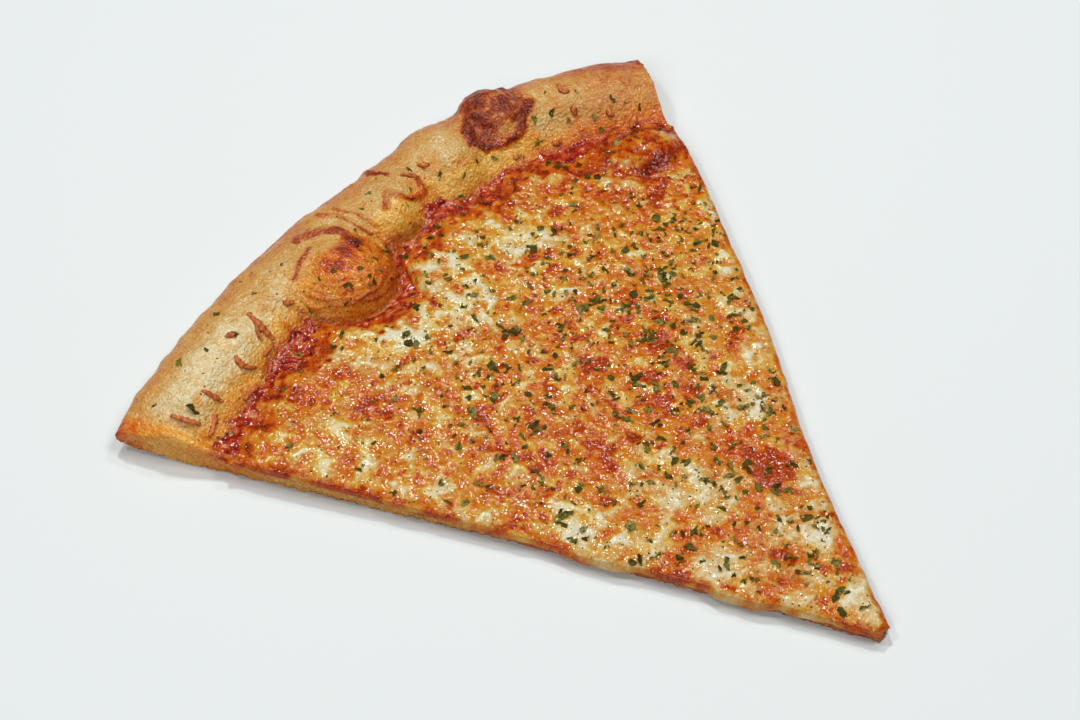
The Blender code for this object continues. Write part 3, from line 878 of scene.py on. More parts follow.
def build_sauce(settings):
    step = mm(settings.spacing)
    edge = layer_outline(sauce_radius, sauce_reach, step)

    def visible(x, y):
        radius, degrees = polar(x, y)
        end = sauce_radius(degrees)
        near = np.minimum(cut_distance(-1, x, y), cut_distance(1, x, y))
        return (near > 1.6) & (radius < end - 0.7) & (radius > end - 18.0)

    def hidden(x, y):
        radius, degrees = polar(x, y)
        near = np.minimum(cut_distance(-1, x, y), cut_distance(1, x, y))
        return (near > 4.0) & (radius < sauce_radius(degrees) - 20.0) & (radius > TIP_CUT + 3.0)

    inner = np.concatenate([lattice(step, visible, PLAN_BOX), lattice(5.0, hidden, PLAN_BOX)])
    flat = np.concatenate([edge, inner])
    x, y = flat.T
    radius, degrees = polar(x, y)
    inside = sauce_radius(degrees) - radius
    low = dough_top(x, y) + LAYER_GAP
    lumps = 0.30 * noise(x, y, 0.0, 5.0, 32) + 0.22 * noise(x, y, 0.0, 2.0, 33, 2)
    full = mm(settings.thickness) - SAUCE_LIP
    thick = SAUCE_LIP + (full + lumps) * smooth(0.0, 7.0, inside) + 0.35 * lumps * smooth(0.0, 2.0, inside)
    high = low + np.maximum(thick, SAUCE_LIP)
    faces = fill(edge, inner)
    count = len(edge)
    body = Patchwork()
    upper, lower = np.column_stack([flat, high]), np.column_stack([flat, low])
    body.add(upper, faces)
    body.add(lower, [face[::-1] for face in faces])
    rows = [upper[:count]]
    for share in (0.33, 0.66):
        row = mix(upper[:count], lower[:count], share)
        row[:, :2] = inset_line(row[:, :2], -0.18)
        rows.append(row)
    rows.append(lower[:count])
    body.add(*walls(rows))
    points, faces, _ = body.sewn()
    material = tomato_sauce(settings)
    piece = make_object("tomato_sauce", points, outward(points, faces), {}, material)
    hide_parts("sauce")
    return piece


# ---------------------------------------------------------------- cheese

GRID = 0.4                # spacing of the square grid on which the cheese is laid out
GRID_X = np.arange(-134.0, 140.0, GRID)
GRID_Y = np.arange(-6.0, 262.0, GRID)

# Parts of the cheese that differ from the rest: centre x and y in the slanted plan, radius, strength.
CREAMY = (
    (-6.0, 196.0, 19.0, 0.44), (-30.0, 188.0, 16.0, 0.30), (-72.0, 176.0, 14.0, 0.10), (34.0, 200.0, 18.0, 0.20),
    (-42.0, 88.0, 11.0, 0.40), (-36.0, 100.0, 8.0, 0.22), (-30.0, 75.0, 8.0, 0.22), (-9.0, 72.0, 8.0, 0.26),
    (-28.0, 51.0, 8.0, 0.36), (-15.0, 48.0, 7.0, 0.28), (9.0, 36.0, 8.0, 0.34), (-24.0, 39.0, 6.0, 0.24),
    (1.0, 12.0, 7.0, 0.40), (34.0, 95.0, 8.0, 0.30), (36.0, 85.0, 6.0, 0.18), (-2.0, 66.0, 9.0, 0.14),
    (-62.0, 122.0, 8.0, 0.16), (-5.0, 28.0, 6.0, 0.20), (66.0, 150.0, 12.0, 0.08), (86.0, 172.0, 12.0, 0.08),
)
ORANGE = (
    (-62.0, 152.0, 20.0, 0.16), (-8.0, 150.0, 26.0, 0.12), (26.0, 132.0, 24.0, 0.20), (60.0, 170.0, 18.0, 0.16),
    (-30.0, 124.0, 16.0, 0.10), (48.0, 116.0, 14.0, 0.14), (18.0, 74.0, 12.0, 0.14), (20.0, 64.0, 9.0, 0.14),
    (-26.0, 79.0, 6.0, 0.16), (-5.0, 86.0, 7.0, 0.16), (-14.0, 36.0, 6.0, 0.20), (-8.0, 7.0, 6.0, 0.20),
    (-57.0, 112.0, 6.0, 0.20), (-78.0, 176.0, 9.0, 0.05),
)
RED = (
    (-34.0, 104.0, 4.5, 0.6), (-37.0, 115.0, 4.0, 0.5), (-29.0, 95.0, 3.5, 0.7), (-19.0, 100.0, 4.5, 0.6),
    (-17.0, 90.0, 4.0, 0.4), (3.0, 99.0, 6.0, 0.5), (14.0, 107.0, 5.0, 0.6), (8.0, 116.0, 6.0, 0.4),
    (-18.0, 117.0, 5.0, 0.5), (15.0, 95.0, 5.0, 0.5), (29.0, 125.0, 6.0, 0.5), (-26.0, 79.0, 4.0, 0.4),
    (11.0, 84.0, 5.0, 0.4), (18.0, 76.0, 6.0, 0.7), (28.0, 76.0, 5.0, 0.6), (15.0, 63.0, 6.0, 0.9),
    (21.0, 65.0, 5.0, 0.7), (-12.0, 61.0, 3.5, 0.7), (2.0, 61.0, 4.0, 0.6), (-26.0, 63.0, 4.5, 0.8),
    (-33.0, 57.0, 4.0, 0.5), (-6.0, 43.0, 5.0, 0.7), (-14.0, 37.0, 4.0, 0.4), (-3.0, 36.0, 4.0, 0.4),
    (5.0, 24.0, 4.5, 0.8), (-4.0, 22.0, 3.5, 0.5), (18.0, 42.0, 4.0, 0.7), (-26.0, 44.0, 4.0, 0.5),
    (-10.0, 16.0, 4.0, 0.6), (-48.0, 103.0, 5.0, 0.6), (-57.0, 108.0, 5.0, 0.6), (12.0, 128.0, 12.0, 0.26),
    (30.0, 112.0, 9.0, 0.25), (54.0, 206.0, 12.0, 0.3), (78.0, 200.0, 10.0, 0.7), (26.0, 208.0, 9.0, 0.3),
    (-70.0, 196.0, 8.0, 0.5), (-88.0, 190.0, 7.0, 0.6), (-50.0, 202.0, 7.0, 0.5), (8.0, 214.0, 6.0, 0.5),
)


def zones(x, y, table, wander):
    return sum(amount * bell(np.hypot(x - cx, y - cy) + wander, size) for cx, cy, size, amount in table)


def strew_shreds(count, half_width, length, seed):
    """Height of straight and bent shreds of cheese strewn at random on the grid."""
    rng = np.random.default_rng(seed)
    field = np.zeros((len(GRID_Y), len(GRID_X)))
    for _ in range(count):
        x, y = rng.uniform(GRID_X[0], GRID_X[-1]), rng.uniform(GRID_Y[0], GRID_Y[-1])
        half, reach = rng.uniform(*half_width), rng.uniform(*length) / 2.0
        turn, bend = rng.uniform(0.0, math.pi), rng.normal(0.0, 0.02)
        room = reach + 2.6 * half
        i0, i1 = np.searchsorted(GRID_X, (x - room, x + room))
        j0, j1 = np.searchsorted(GRID_Y, (y - room, y + room))
        dx, dy = GRID_X[i0:i1][None, :] - x, GRID_Y[j0:j1][:, None] - y
        along = dx * math.cos(turn) + dy * math.sin(turn)
        aside = -dx * math.sin(turn) + dy * math.cos(turn) - bend * along * along
        past = np.maximum(np.abs(along) - reach, 0.0)
        field[j0:j1, i0:i1] += np.exp(-(past * past + aside * aside) / (half * half))
    return field


def blurred(field, size):
    """The field smoothed over a size in millimetres."""
    fy = np.fft.fftfreq(field.shape[0], GRID)[:, None]
    fx = np.fft.rfftfreq(field.shape[1], GRID)[None, :]
    soft = np.exp(-2.0 * (math.pi * size) ** 2 * (fx * fx + fy * fy))
    return np.fft.irfft2(np.fft.rfft2(field) * soft, field.shape)


def even(field):
    """The field with a mean of 0 and a spread of 1."""
    return (field - field.mean()) / field.std()


def sampled(field, x, y):
    """Values of a grid field at points, read between the grid's own points."""
    u = np.clip((x - GRID_X[0]) / GRID, 0, len(GRID_X) - 1.001)
    v = np.clip((y - GRID_Y[0]) / GRID, 0, len(GRID_Y) - 1.001)
    i, j = u.astype(int), v.astype(int)
    u, v = u - i, v - j
    upper = field[j + 1, i] * (1 - u) + field[j + 1, i + 1] * u
    return (field[j, i] * (1 - u) + field[j, i + 1] * u) * (1 - v) + upper * v


def cheese_fields():
    """How toasted and how milky the melted cheese is, and its height, on a grid in the slanted plan."""
    x, y = np.meshgrid(GRID_X, GRID_Y)
    warp_x, warp_y = 1.6 * noise(x, y, 0.0, 4.0, 43, 2), 1.6 * noise(x, y, 0.0, 4.0, 44, 2)
    wx, wy = x + warp_x, y + warp_y
    near_tip = smooth(125.0, 50.0, np.hypot(x, y))
    n_big, n_mid = noise(x, y, 0.0, 18.0, 45, 2), noise(wx, wy, 0.0, 5.0, 46, 3)
    n_mid = mix(n_mid, noise(wx, wy, 0.0, 9.0, 62, 3), 0.75 * near_tip)
    n_red, n_small = noise(wx, wy, 0.0, 4.2, 47, 2), noise(x, y, 0.0, 2.0, 57, 2)
    n_red = mix(n_red, noise(wx, wy, 0.0, 6.5, 63, 2), 0.75 * near_tip)
    shreds = even(blurred(strew_shreds(7000, (0.45, 0.8), (3.0, 9.0), 41), 0.25))
    web = bell(noise(wx, wy, 0.0, 4.6, 55), 0.17) + 0.8 * bell(noise(wy, wx, 0.0, 3.0, 56), 0.17)
    web = even(blurred(web, 0.25))
    wander = 3.0 * n_mid
    creamy, orange = zones(x, y, CREAMY, wander), zones(x, y, ORANGE, wander)
    red = zones(x, y, RED, 2.0 * n_mid)
    # Pools of thick pale cheese, orange where it is thin, and dark red where the sauce comes through.
    pool = smooth(0.2, 0.7, -n_mid + 0.3 * n_small + 1.8 * creamy + 0.35 * near_tip - 0.4 * orange)
    heat = 0.46 + 0.18 * n_mid + 0.05 * n_big + 0.34 * orange - 0.33 * creamy + 0.10 * near_tip
    heat += 0.05 * smooth(150.0, 190.0, y)
    heat += -0.07 * web - 0.08 * shreds + 0.06 * n_small - 0.26 * pool
    spilt = n_red * (1.0 - 0.35 * near_tip) + 0.25 * n_small + 0.25 * n_big + 1.6 * red - 0.5 * creamy
    spilt -= 0.10 * near_tip
    heat = mix(heat, 0.60, 0.45 * smooth(-0.10, 0.50, spilt))
    sauce = smooth(0.66, 1.05, spilt)
    heat = mix(heat, 0.83, 0.90 * sauce)
    milk = noise(x, y, 0.0, 6.0, 58, 2) - 1.2 * orange + creamy + 0.8 * pool * near_tip + 0.12 * web
    milk = smooth(0.0, 0.7, milk) * (1.0 - 0.6 * sauce)
    height = blurred(0.3 * shreds + 0.35 * web + 0.5 * pool - 0.8 * sauce, 0.5)
    return heat, milk, height


def cheese_reach(side, radius):
    """How far the edge of the cheese stands out from a cut."""
    ripple = 0.30 * noise(radius, 3.0 * side, 0.0, 5.0, 51, 2)
    if side > 0:
        return 0.35 + ripple
    return 0.55 + ripple + 1.5 * drip(radius)


def face_reach(side, radius):
    """The same for the inner side of the cheese that hangs over a cut."""
    return np.minimum(cheese_reach(side, radius) - 0.3, 0.35)


def cheese_inside(x, y):
    """Distance from the edge of the cheese, inwards."""
    radius, degrees = polar(x, y)
    left = cut_distance(-1, x, y) + cheese_reach(-1, radius)
    right = cut_distance(1, x, y) + cheese_reach(1, radius)
    return np.minimum.reduce([left, right, cheese_radius(degrees) - radius, radius - TIP_CUT + 0.6])


def build_cheese(settings):
    step = mm(settings.spacing)
    heat_field, milk_field, height_field = cheese_fields()
    edge = layer_outline(cheese_radius, cheese_reach, step)
    count = len(edge)
    rings = [layer_outline(cheese_radius, cheese_reach, step, d) for d in (0.16, 0.5, 1.0)]
    inner = lattice(step * 0.96, lambda x, y: cheese_inside(x, y) > 1.35, PLAN_BOX)

    # The upper side: thin at its edge, rounded over within the first two millimetres.
    flat = np.concatenate([edge, *rings, inner])
    x, y = flat.T
    inside = np.maximum(np.concatenate([np.zeros(count), *(np.full(count, d) for d in (0.16, 0.5, 1.0)),
                                        cheese_inside(*inner.T)]), 0.0)
    radius, degrees = polar(x, y)
    floor = dough_top(x, y) + 2.0 * LAYER_GAP + 1.0
    rim_side = cheese_radius(degrees) - radius
    thick = mix(0.55, mm(settings.thickness), smooth(0.0, 9.0, rim_side))
    near_cut = np.minimum(cut_distance(-1, x, y), cut_distance(1, x, y)) < rim_side
    rounding = np.sqrt(1.0 - (1.0 - np.clip(inside / np.where(near_cut, 3.6, 1.9), 0.0, 1.0)) ** 2)
    bx, by, size, swell = CHEESE_BLISTER
    away = np.minimum(np.hypot(x - bx, y - by) / size, 1.0)
    blister = swell * (1.0 - away * away) ** 1.2
    level = floor + thick
    sx, sy = seen(np.stack([x, y, level + blister], 1))
    relief = sampled(height_field, sx, sy) + 0.30 * noise(x, y, 0.0, 11.0, 52)
    relief *= smooth(0.0, 3.0, rim_side) * (0.35 + 0.65 * rounding)
    top = floor + 0.25 + (thick - 0.25) * (0.30 + 0.70 * rounding) + mm(settings.relief) * relief + blister
    top = np.maximum(top, floor + 0.15)
    upper = np.column_stack([flat, top])
    faces = fill(edge, np.concatenate([*rings, inner]))

    # The edge: a soft rounded side, drawn down over the left cut where the cheese runs.
    outer = upper[:count]
    radius, degrees = polar(*edge.T)
    on_left = (cut_distance(-1, *edge.T) < 2.0) & (radius > TIP_CUT + 1.0) & (radius < cheese_radius(degrees) - 1.0)
    run = np.where(on_left, drip(radius) * smooth(TIP_CUT, 14.0, radius), 0.0)
    floor_edge = dough_top(*edge.T) + 2.0 * LAYER_GAP + 1.0
    hang = 0.5 + 0.5 * noise(radius, 0.0, 0.0, 6.0, 53, 2)
    at_cut = (radius > TIP_CUT + 0.5) & (radius < cheese_radius(degrees) - 1.0)
    foot = floor_edge - np.where(at_cut, 1.1 + 0.9 * np.clip(hang, 0.0, 1.0), 0.1)
    foot = mix(foot, 0.7 + 0.8 * np.clip(hang, 0.0, 1.0), run)
    outwards = (edge - inset_line(edge, 1.0))
    rows = [outer]
    for share in (0.1, 0.22, 0.36, 0.5, 0.64, 0.78, 0.9, 1.0):
        swell_out = 0.55 * math.sin(math.pi * share) * (0.6 + 0.5 * np.clip(hang, 0.0, 1.0))
        turned = edge + outwards * (swell_out - 0.25 * share**4)[:, None]
        height = mix(outer[:, 2], foot, share**0.9)
        rows.append(np.column_stack([turned, height]))
    # Below the cut's edge, the underside goes back up along the cut face.
    inner_edge = np.where(at_cut[:, None], layer_outline(cheese_radius, face_reach, step), 0.0)
    inner_edge += np.where(at_cut[:, None], 0.0, layer_outline(cheese_radius, cheese_reach, step, 0.6))
    rows.append(np.column_stack([inner_edge, foot]))
    rows.append(np.column_stack([inner_edge, floor_edge]))
    base_edge = layer_outline(cheese_radius, lambda side, radius: 0.0 * radius - 1.2, step, 0.4)
    rows.append(np.column_stack([base_edge, floor_edge]))
    under = lattice(6.0, lambda x, y: cheese_inside(x, y) > 6.0, PLAN_BOX)
    under_points = np.column_stack([under, dough_top(*under.T) + 2.0 * LAYER_GAP + 1.0])
    body = Patchwork()
    body.add(upper, faces)
    body.add(*walls(rows))
    body.add(np.concatenate([rows[-1], under_points]), fill(base_edge, under))
    points, faces, _ = body.sewn()
    faces = outward(points, faces)

    sx, sy = seen(points)
    x, y, z = points.T
    radius, degrees = polar(x, y)
    side = cheese_inside(x, y)
    rim_side = cheese_radius(degrees) - radius
    heat, milk = sampled(heat_field, sx, sy), sampled(milk_field, sx, sy)
    n_mid, n_fine = noise(x, y, z, 3.0, 54, 2), noise(x, y, z, 1.5, 59, 2)
    # Next to the rim the cheese is thin and takes the colour of the sauce.
    shore = smooth(9.0 + 5.0 * smooth(4.0, 14.0, degrees), 0.5, rim_side + 3.5 * n_mid)
    heat = mix(heat, 0.76 - 0.3 * n_mid - 0.12 * n_fine, shore * 0.85)
    milk = mix(milk, 0.8, shore * 0.6)
    # Along the cuts it rolls over thinly, orange and red, and thicker and pale where it runs.
    edge_side = smooth(2.6, 0.0, side + 0.6 * n_mid) * (1.0 - shore)
    lobes = np.where(x < 0.0, drip(radius), 0.0)
    rolled = 0.66 - 0.34 * lobes + 0.36 * noise(radius, 0.0, 0.0, 9.0, 66, 2) - 0.25 * n_mid
    heat = mix(heat, np.minimum(rolled, 0.82), edge_side * 0.8)
    milk = mix(milk, 0.8, edge_side * lobes)
    bx, by, size, _ = CHEESE_BLISTER
    front = bell(sy - 185.0, 3.2) * smooth(17.0, 9.0, np.abs(sx - 95.0) + 2.0 * n_mid)
    heat = mix(heat, 0.95, 0.8 * np.clip(front, 0, 1))
    heat = np.minimum(heat, 0.88) + 0.20 * bell(np.hypot(sx - 93.0, sy - 196.0), 9.0)
    values = dict(toast=heat, milk=milk)
    piece = make_object("melted_cheese", points, faces, values, melted_cheese(settings))
    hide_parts("cheese")
    return piece


# ---------------------------------------------------------------- herbs, browned shreds and crumbs

# Browned shreds of cheese stuck to the rim, in the slanted plan: both ends of each.
RIM_SHREDS = (
    (-103, 215, -99, 206), (-89, 216, -88, 208), (-101, 200, -93, 206), (-72, 220, -71, 212), (-57, 231, -59, 217),
    (-58, 226, -62, 219), (-69, 228, -67, 226), (-45, 227, -43, 225), (93, 236, 94, 232), (99, 217, 98, 213),
    (73, 219, 75, 217), (57, 223, 60, 222), (-28, 211, -20, 210), (30, 243, 33, 240), (104, 208, 98, 204),
    (-83, 204, -76, 206), (-66, 214, -60, 216), (88, 222, 90, 226), (22, 243, 26, 238),
)
RIM_HERBS = (
    (-87, 230, 3.4), (-65, 238, 2.6), (-96, 212, 4.2), (-66, 227, 2.4), (-60, 223, 2.0), (-77, 228, 1.6),
    (32, 234, 3.2), (75, 231, 2.4), (82, 229, 2.8), (96, 230, 2.8), (-42, 218, 2.6), (20, 236, 1.6), (8, 244, 1.4),
    (103, 219, 2.6), (92, 217, 2.8), (60, 221, 1.8), (31, 222, 2.4), (-30, 226, 1.6), (14, 231, 1.4), (46, 230, 1.8),
    (-104, 222, 2.0), (-50, 236, 1.6), (-35, 240, 1.8), (-7, 234, 2.0), (2, 240, 2.0), (26, 243, 1.8), (38, 228, 2.2),
    (52, 227, 2.2), (68, 222, 2.4), (88, 238, 2.2), (105, 214, 2.8), (107, 209, 2.6), (89, 211, 2.4), (84, 222, 2.0),
)
# Where herbs lie thicker on the cheese: centre in the slanted plan, radius, how much thicker.
HERB_CLUMPS = (
    (30.0, 150.0, 34.0, 2.4), (56.0, 140.0, 22.0, 2.6), (-24.0, 158.0, 22.0, 1.8), (20.0, 112.0, 20.0, 1.6),
    (8.0, 88.0, 14.0, 1.6), (34.0, 88.0, 10.0, 2.0), (-14.0, 60.0, 10.0, 1.2), (-28.0, 42.0, 5.0, 5.0),
    (60.0, 176.0, 20.0, 1.2), (0.0, 40.0, 30.0, 1.6),
)


class Surface:
    """The upper side of the finished food, on which loose bits are laid."""

    def __init__(self):
        graph = bpy.context.evaluated_depsgraph_get()
        self.trees = []
        for name in ("baked_crust", "tomato_sauce", "melted_cheese"):
            if name not in bpy.data.objects:
                raise RuntimeError(name + " is made before the bits that lie on it")
            self.trees.append(BVHTree.FromObject(bpy.data.objects[name], graph))

    def drop(self, x, y):
        """Where a bit that falls at a plan point comes to lie, and the surface's normal there."""
        start = Vector(to_frame((x, y, 60.0)))
        best = None
        for tree in self.trees:
            place, normal, _, _ = tree.ray_cast(start, Vector((0.0, 0.0, -1.0)))
            if place is not None and (best is None or place.z > best[0].z):
                best = (place, normal)
        return best

    def drop_seen(self, sx, sy):
        """The same for a point of the slanted plan."""
        height = 40.0
        shift = MARK_SLANT * (height - MARK_LEVEL)
        start = Vector(to_frame((sx + MARK_SHIFT[0] - shift, sy + MARK_SHIFT[1] - shift, height)))
        lean = Vector((MARK_SLANT, MARK_SLANT, -1.0)).normalized()
        best = None
        for tree in self.trees:
            place, normal, _, away = tree.ray_cast(start, lean)
            if place is not None and (best is None or away < best[2]):
                best = (place, normal, away)
        return best[:2] if best else None


def bits_tree(name, sides, rings):
    """Geometry nodes that put a small crinkled flat bit on each point, with the point's own turn and size."""
    tree = bpy.data.node_groups.new(name, "GeometryNodeTree")
    face = tree.interface
    face.new_socket("Geometry", in_out="INPUT", socket_type="NodeSocketGeometry")
    for label, default in (("Thickness", 0.1), ("Crinkle", 0.3), ("Crinkle Size", 0.001), ("Uneven", 0.4)):
        face.new_socket(label, in_out="INPUT", socket_type="NodeSocketFloat").default_value = default
    face.new_socket("Seed", in_out="INPUT", socket_type="NodeSocketInt").default_value = 1
    face.new_socket("Material", in_out="INPUT", socket_type="NodeSocketMaterial")
    face.new_socket("Geometry", in_out="OUTPUT", socket_type="NodeSocketGeometry")
    given = add(tree, "NodeGroupInput").outputs
    shape = add(
        tree, "GeometryNodeMeshCylinder",
        {"Vertices": sides, "Side Segments": 1, "Fill Segments": rings, "Radius": 0.5, "Depth": given["Thickness"]},
        fill_type="TRIANGLE_FAN",
    )
    low = maths(tree, "SUBTRACT", 1.0, given["Uneven"])
    high = maths(tree, "ADD", 1.0, given["Uneven"])
    spread = add(tree, "ShaderNodeCombineXYZ", {"X": low, "Y": low, "Z": low})
    spread_high = add(tree, "ShaderNodeCombineXYZ", {"X": high, "Y": high, "Z": high})
    uneven = add(
        tree, "FunctionNodeRandomValue",
        {0: spread.outputs[0], 1: spread_high.outputs[0], "Seed": given["Seed"]}, data_type="FLOAT_VECTOR",
    )
    size = add(tree, "GeometryNodeInputNamedAttribute", {"Name": "size"}, data_type="FLOAT_VECTOR")
    turn = add(tree, "GeometryNodeInputNamedAttribute", {"Name": "turn"}, data_type="FLOAT_VECTOR")
    scale = add(
        tree, "ShaderNodeVectorMath", {0: size.outputs[0], 1: uneven.outputs[0]}, operation="MULTIPLY"
    )
    placed = add(
        tree, "GeometryNodeInstanceOnPoints",
        {"Points": given["Geometry"], "Instance": shape.outputs["Mesh"], "Rotation": turn.outputs[0],
         "Scale": scale.outputs[0]},
    )
    shade = add(tree, "FunctionNodeRandomValue", {2: 0.0, 3: 1.0, "Seed": given["Seed"]}, data_type="FLOAT")
    marked = add(
        tree, "GeometryNodeStoreNamedAttribute",
        {"Geometry": placed.outputs[0], "Name": "shade", "Value": shade.outputs[1]},
        data_type="FLOAT", domain="INSTANCE",
    )
    real = add(tree, "GeometryNodeRealizeInstances", {"Geometry": marked.outputs[0]})
    where = add(tree, "GeometryNodeInputPosition")
    fine = add(tree, "ShaderNodeMath", {0: 1.0, 1: given["Crinkle Size"]}, operation="DIVIDE")
    wave = add(tree, "ShaderNodeTexNoise", {"Vector": where.outputs[0], "Scale": fine.outputs[0], "Detail": 1.0})
    centred = add(
        tree, "ShaderNodeVectorMath", {0: wave.outputs["Color"], 1: (0.5, 0.5, 0.5)}, operation="SUBTRACT"
    )
    amount = maths(tree, "MULTIPLY", given["Crinkle"], given["Crinkle Size"])
    offset = add(tree, "ShaderNodeVectorMath", {0: centred.outputs[0], "Scale": amount}, operation="SCALE")
    bent = add(tree, "GeometryNodeSetPosition", {"Geometry": real.outputs[0], "Offset": offset.outputs[0]})
    painted = add(tree, "GeometryNodeSetMaterial", {"Geometry": bent.outputs[0], "Material": given["Material"]})
    add(tree, "NodeGroupOutput", {"Geometry": painted.outputs[0]})
    return tree


def scatter(name, spots, tree, material, sizes):
    """One mesh of small bits. Each spot is a place, a normal, a turn about it and a size in millimetres."""
    points = bpy.data.meshes.new(name + "_points")
    points.from_pydata([tuple(place) for place, _, _, _ in spots], [], [])
    turns, extents = [], []
    for _, normal, spin, size in spots:
        turn = normal.to_track_quat("Z", "Y") @ Matrix.Rotation(spin, 3, "Z").to_quaternion()
        turns += list(turn.to_euler())
        extents += [length * MM for length in size]
    for key, numbers in (("turn", turns), ("size", extents)):
        attribute = points.attributes.new(key, "FLOAT_VECTOR", "POINT")
        attribute.data.foreach_set("vector", numbers)
    holder = bpy.data.objects.new(name + "_points", points)
    bpy.context.scene.collection.objects.link(holder)
    modifier = holder.modifiers.new("bits", "NODES")
    modifier.node_group = tree
    for item in tree.interface.items_tree:
        if item.item_type == "SOCKET" and item.in_out == "INPUT" and item.name in sizes:
            modifier[item.identifier] = sizes[item.name]
        elif item.item_type == "SOCKET" and item.name == "Material":
            modifier[item.identifier] = material
    graph = bpy.context.evaluated_depsgraph_get()
    mesh = bpy.data.meshes.new_from_object(holder.evaluated_get(graph), depsgraph=graph)
    bpy.data.objects.remove(holder)
    mesh.name = name
    piece = bpy.data.objects.new(name, mesh)
    bpy.context.scene.collection.objects.link(piece)
    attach(piece, "root")
    return piece


def tilted(normal, rng, amount):
    lean = Vector(rng.normal(0.0, amount, 3))
    return (normal + lean).normalized()


def build_herbs(settings):
    surface = Surface()
    rng = np.random.default_rng(61)
    spots, dust = [], []
    for sx, sy, size in RIM_HERBS:
        hit = surface.drop_seen(sx, sy)
        if hit:
            place, normal = hit
            width = size * rng.uniform(0.45, 0.7)
            spots.append((place + normal * 0.0002, tilted(normal, rng, 0.18), rng.uniform(0, 6.3), (size, width, 1.0)))
    wanted = len(spots) + settings.flakes
    most = 1.0 + max(amount for _, _, _, amount in HERB_CLUMPS)
    while len(spots) < wanted:
        x, y = rng.uniform(-115.0, 125.0), rng.uniform(6.0, 226.0)
        inside = min(float(cut_distance(-1, x, y)), float(cut_distance(1, x, y)))
        if inside < 1.0 or math.hypot(x, y) > 224.0:
            continue
        thicker = 1.0 + sum(a * bell(math.hypot(x - MARK_SHIFT[0] - cx, y - cy), r) for cx, cy, r, a in HERB_CLUMPS)
        thicker *= 0.45 if x < -45.0 else 1.0
        if rng.uniform(0.0, most) > thicker:
            continue
        place, normal = surface.drop(x, y)
        size = float(np.clip(rng.lognormal(0.52, 0.45), 0.8, 4.2)) * (1.25 if y < 115.0 else 1.0)
        for _ in range(rng.choice((1, 1, 2, 3))):
            width = size * rng.uniform(0.3, 0.65)
            lifted = place + normal * rng.uniform(0.0001, 0.0005)
            spots.append((lifted, tilted(normal, rng, 0.18), rng.uniform(0, 6.3), (size, width, 1.0)))
            nearby = surface.drop(x + rng.normal(0.0, 0.6) * size, y + rng.normal(0.0, 0.6) * size)
            if nearby is None:
                break
            place, normal = nearby
            size *= rng.uniform(0.5, 0.9)
    while len(dust) < settings.specks:
        x, y = rng.uniform(-122.0, 128.0), rng.uniform(4.0, 250.0)
        if min(float(cut_distance(-1, x, y)), float(cut_distance(1, x, y))) < 0.5 or math.hypot(x, y) > 250.0:
            continue
        if math.hypot(x, y) > 222.0 and rng.uniform() > 0.22:
            continue
        place, normal = surface.drop(x, y)
        size = rng.uniform(0.3, 1.0)
        dust.append((place, tilted(normal, rng, 0.4), rng.uniform(0, 6.3), (size, size * rng.uniform(0.35, 0.8), 1.0)))
    tree = bits_tree("crinkled flakes", 9, 2)
    leaf = dried_herb(settings)
    sizes = {"Thickness": mm(settings.thickness), "Crinkle": settings.crinkle, "Crinkle Size": 0.0010, "Seed": 7}
    scatter("herb_flakes", spots, tree, leaf, sizes)
    speck_tree = bits_tree("herb dust", 5, 1)
    sizes = {"Thickness": 0.22, "Crinkle": 0.5, "Crinkle Size": 0.0006, "Seed": 8}
    scatter("herb_specks", dust, speck_tree, leaf, sizes)


def rod(line, radii, sides=8):
    """Points and faces of a closed rod along a line of points."""
    along = np.gradient(line, axis=0)
    along /= np.linalg.norm(along, axis=1, keepdims=True)
    aside = np.cross(along, (0.0, 0.0, 1.0))
    aside /= np.linalg.norm(aside, axis=1, keepdims=True)
    up = np.cross(aside, along)
    turns = np.linspace(0.0, math.tau, sides, endpoint=False)
    rings = [p + r * (np.outer(np.cos(turns), a) + 0.6 * np.outer(np.sin(turns), u))
             for p, r, a, u in zip(line, radii, aside, up)]
    faces = []
    for j in range(len(line) - 1):
        for i in range(sides):
            k = (i + 1) % sides
            faces.append((j * sides + i, j * sides + k, (j + 1) * sides + k, (j + 1) * sides + i))
    last = (len(line) - 1) * sides
    faces.append(tuple(range(sides))[::-1])
    faces.append(tuple(range(last, last + sides)))
    return np.concatenate(rings), faces


def build_rim_shreds(settings):
    surface = Surface()
    rng = np.random.default_rng(71)
    body = Patchwork()
    for x0, y0, x1, y1 in RIM_SHREDS:
        count = max(7, round(math.hypot(x1 - x0, y1 - y0) / 0.6))
        bend = rng.normal(0.0, 0.9)
        line = []
        for share in np.linspace(0.0, 1.0, count):
            bow = bend * 4.0 * share * (1.0 - share)
            hit = surface.drop_seen(mix(x0, x1, share) + bow, mix(y0, y1, share) + 0.4 * bow)
            if hit is not None:
                place, normal = hit
                line.append(np.array(place + normal * 0.0002) / MM + (CENTRE_X, CENTRE_Y, 0.0))
        shares = np.linspace(0.0, 1.0, len(line))
        radii = mm(settings.thickness) * rng.uniform(0.4, 0.6) * (0.25 + 0.75 * np.sqrt(np.sin(math.pi * (0.04 + 0.92 * shares))))
        radii *= rng.uniform(0.65, 1.25, len(line))
        body.add(*rod(np.array(line), radii))
    points, faces, _ = body.sewn()
    material = browned_cheese(settings)
    return make_object("browned_shreds", points, outward(points, faces), {}, material)


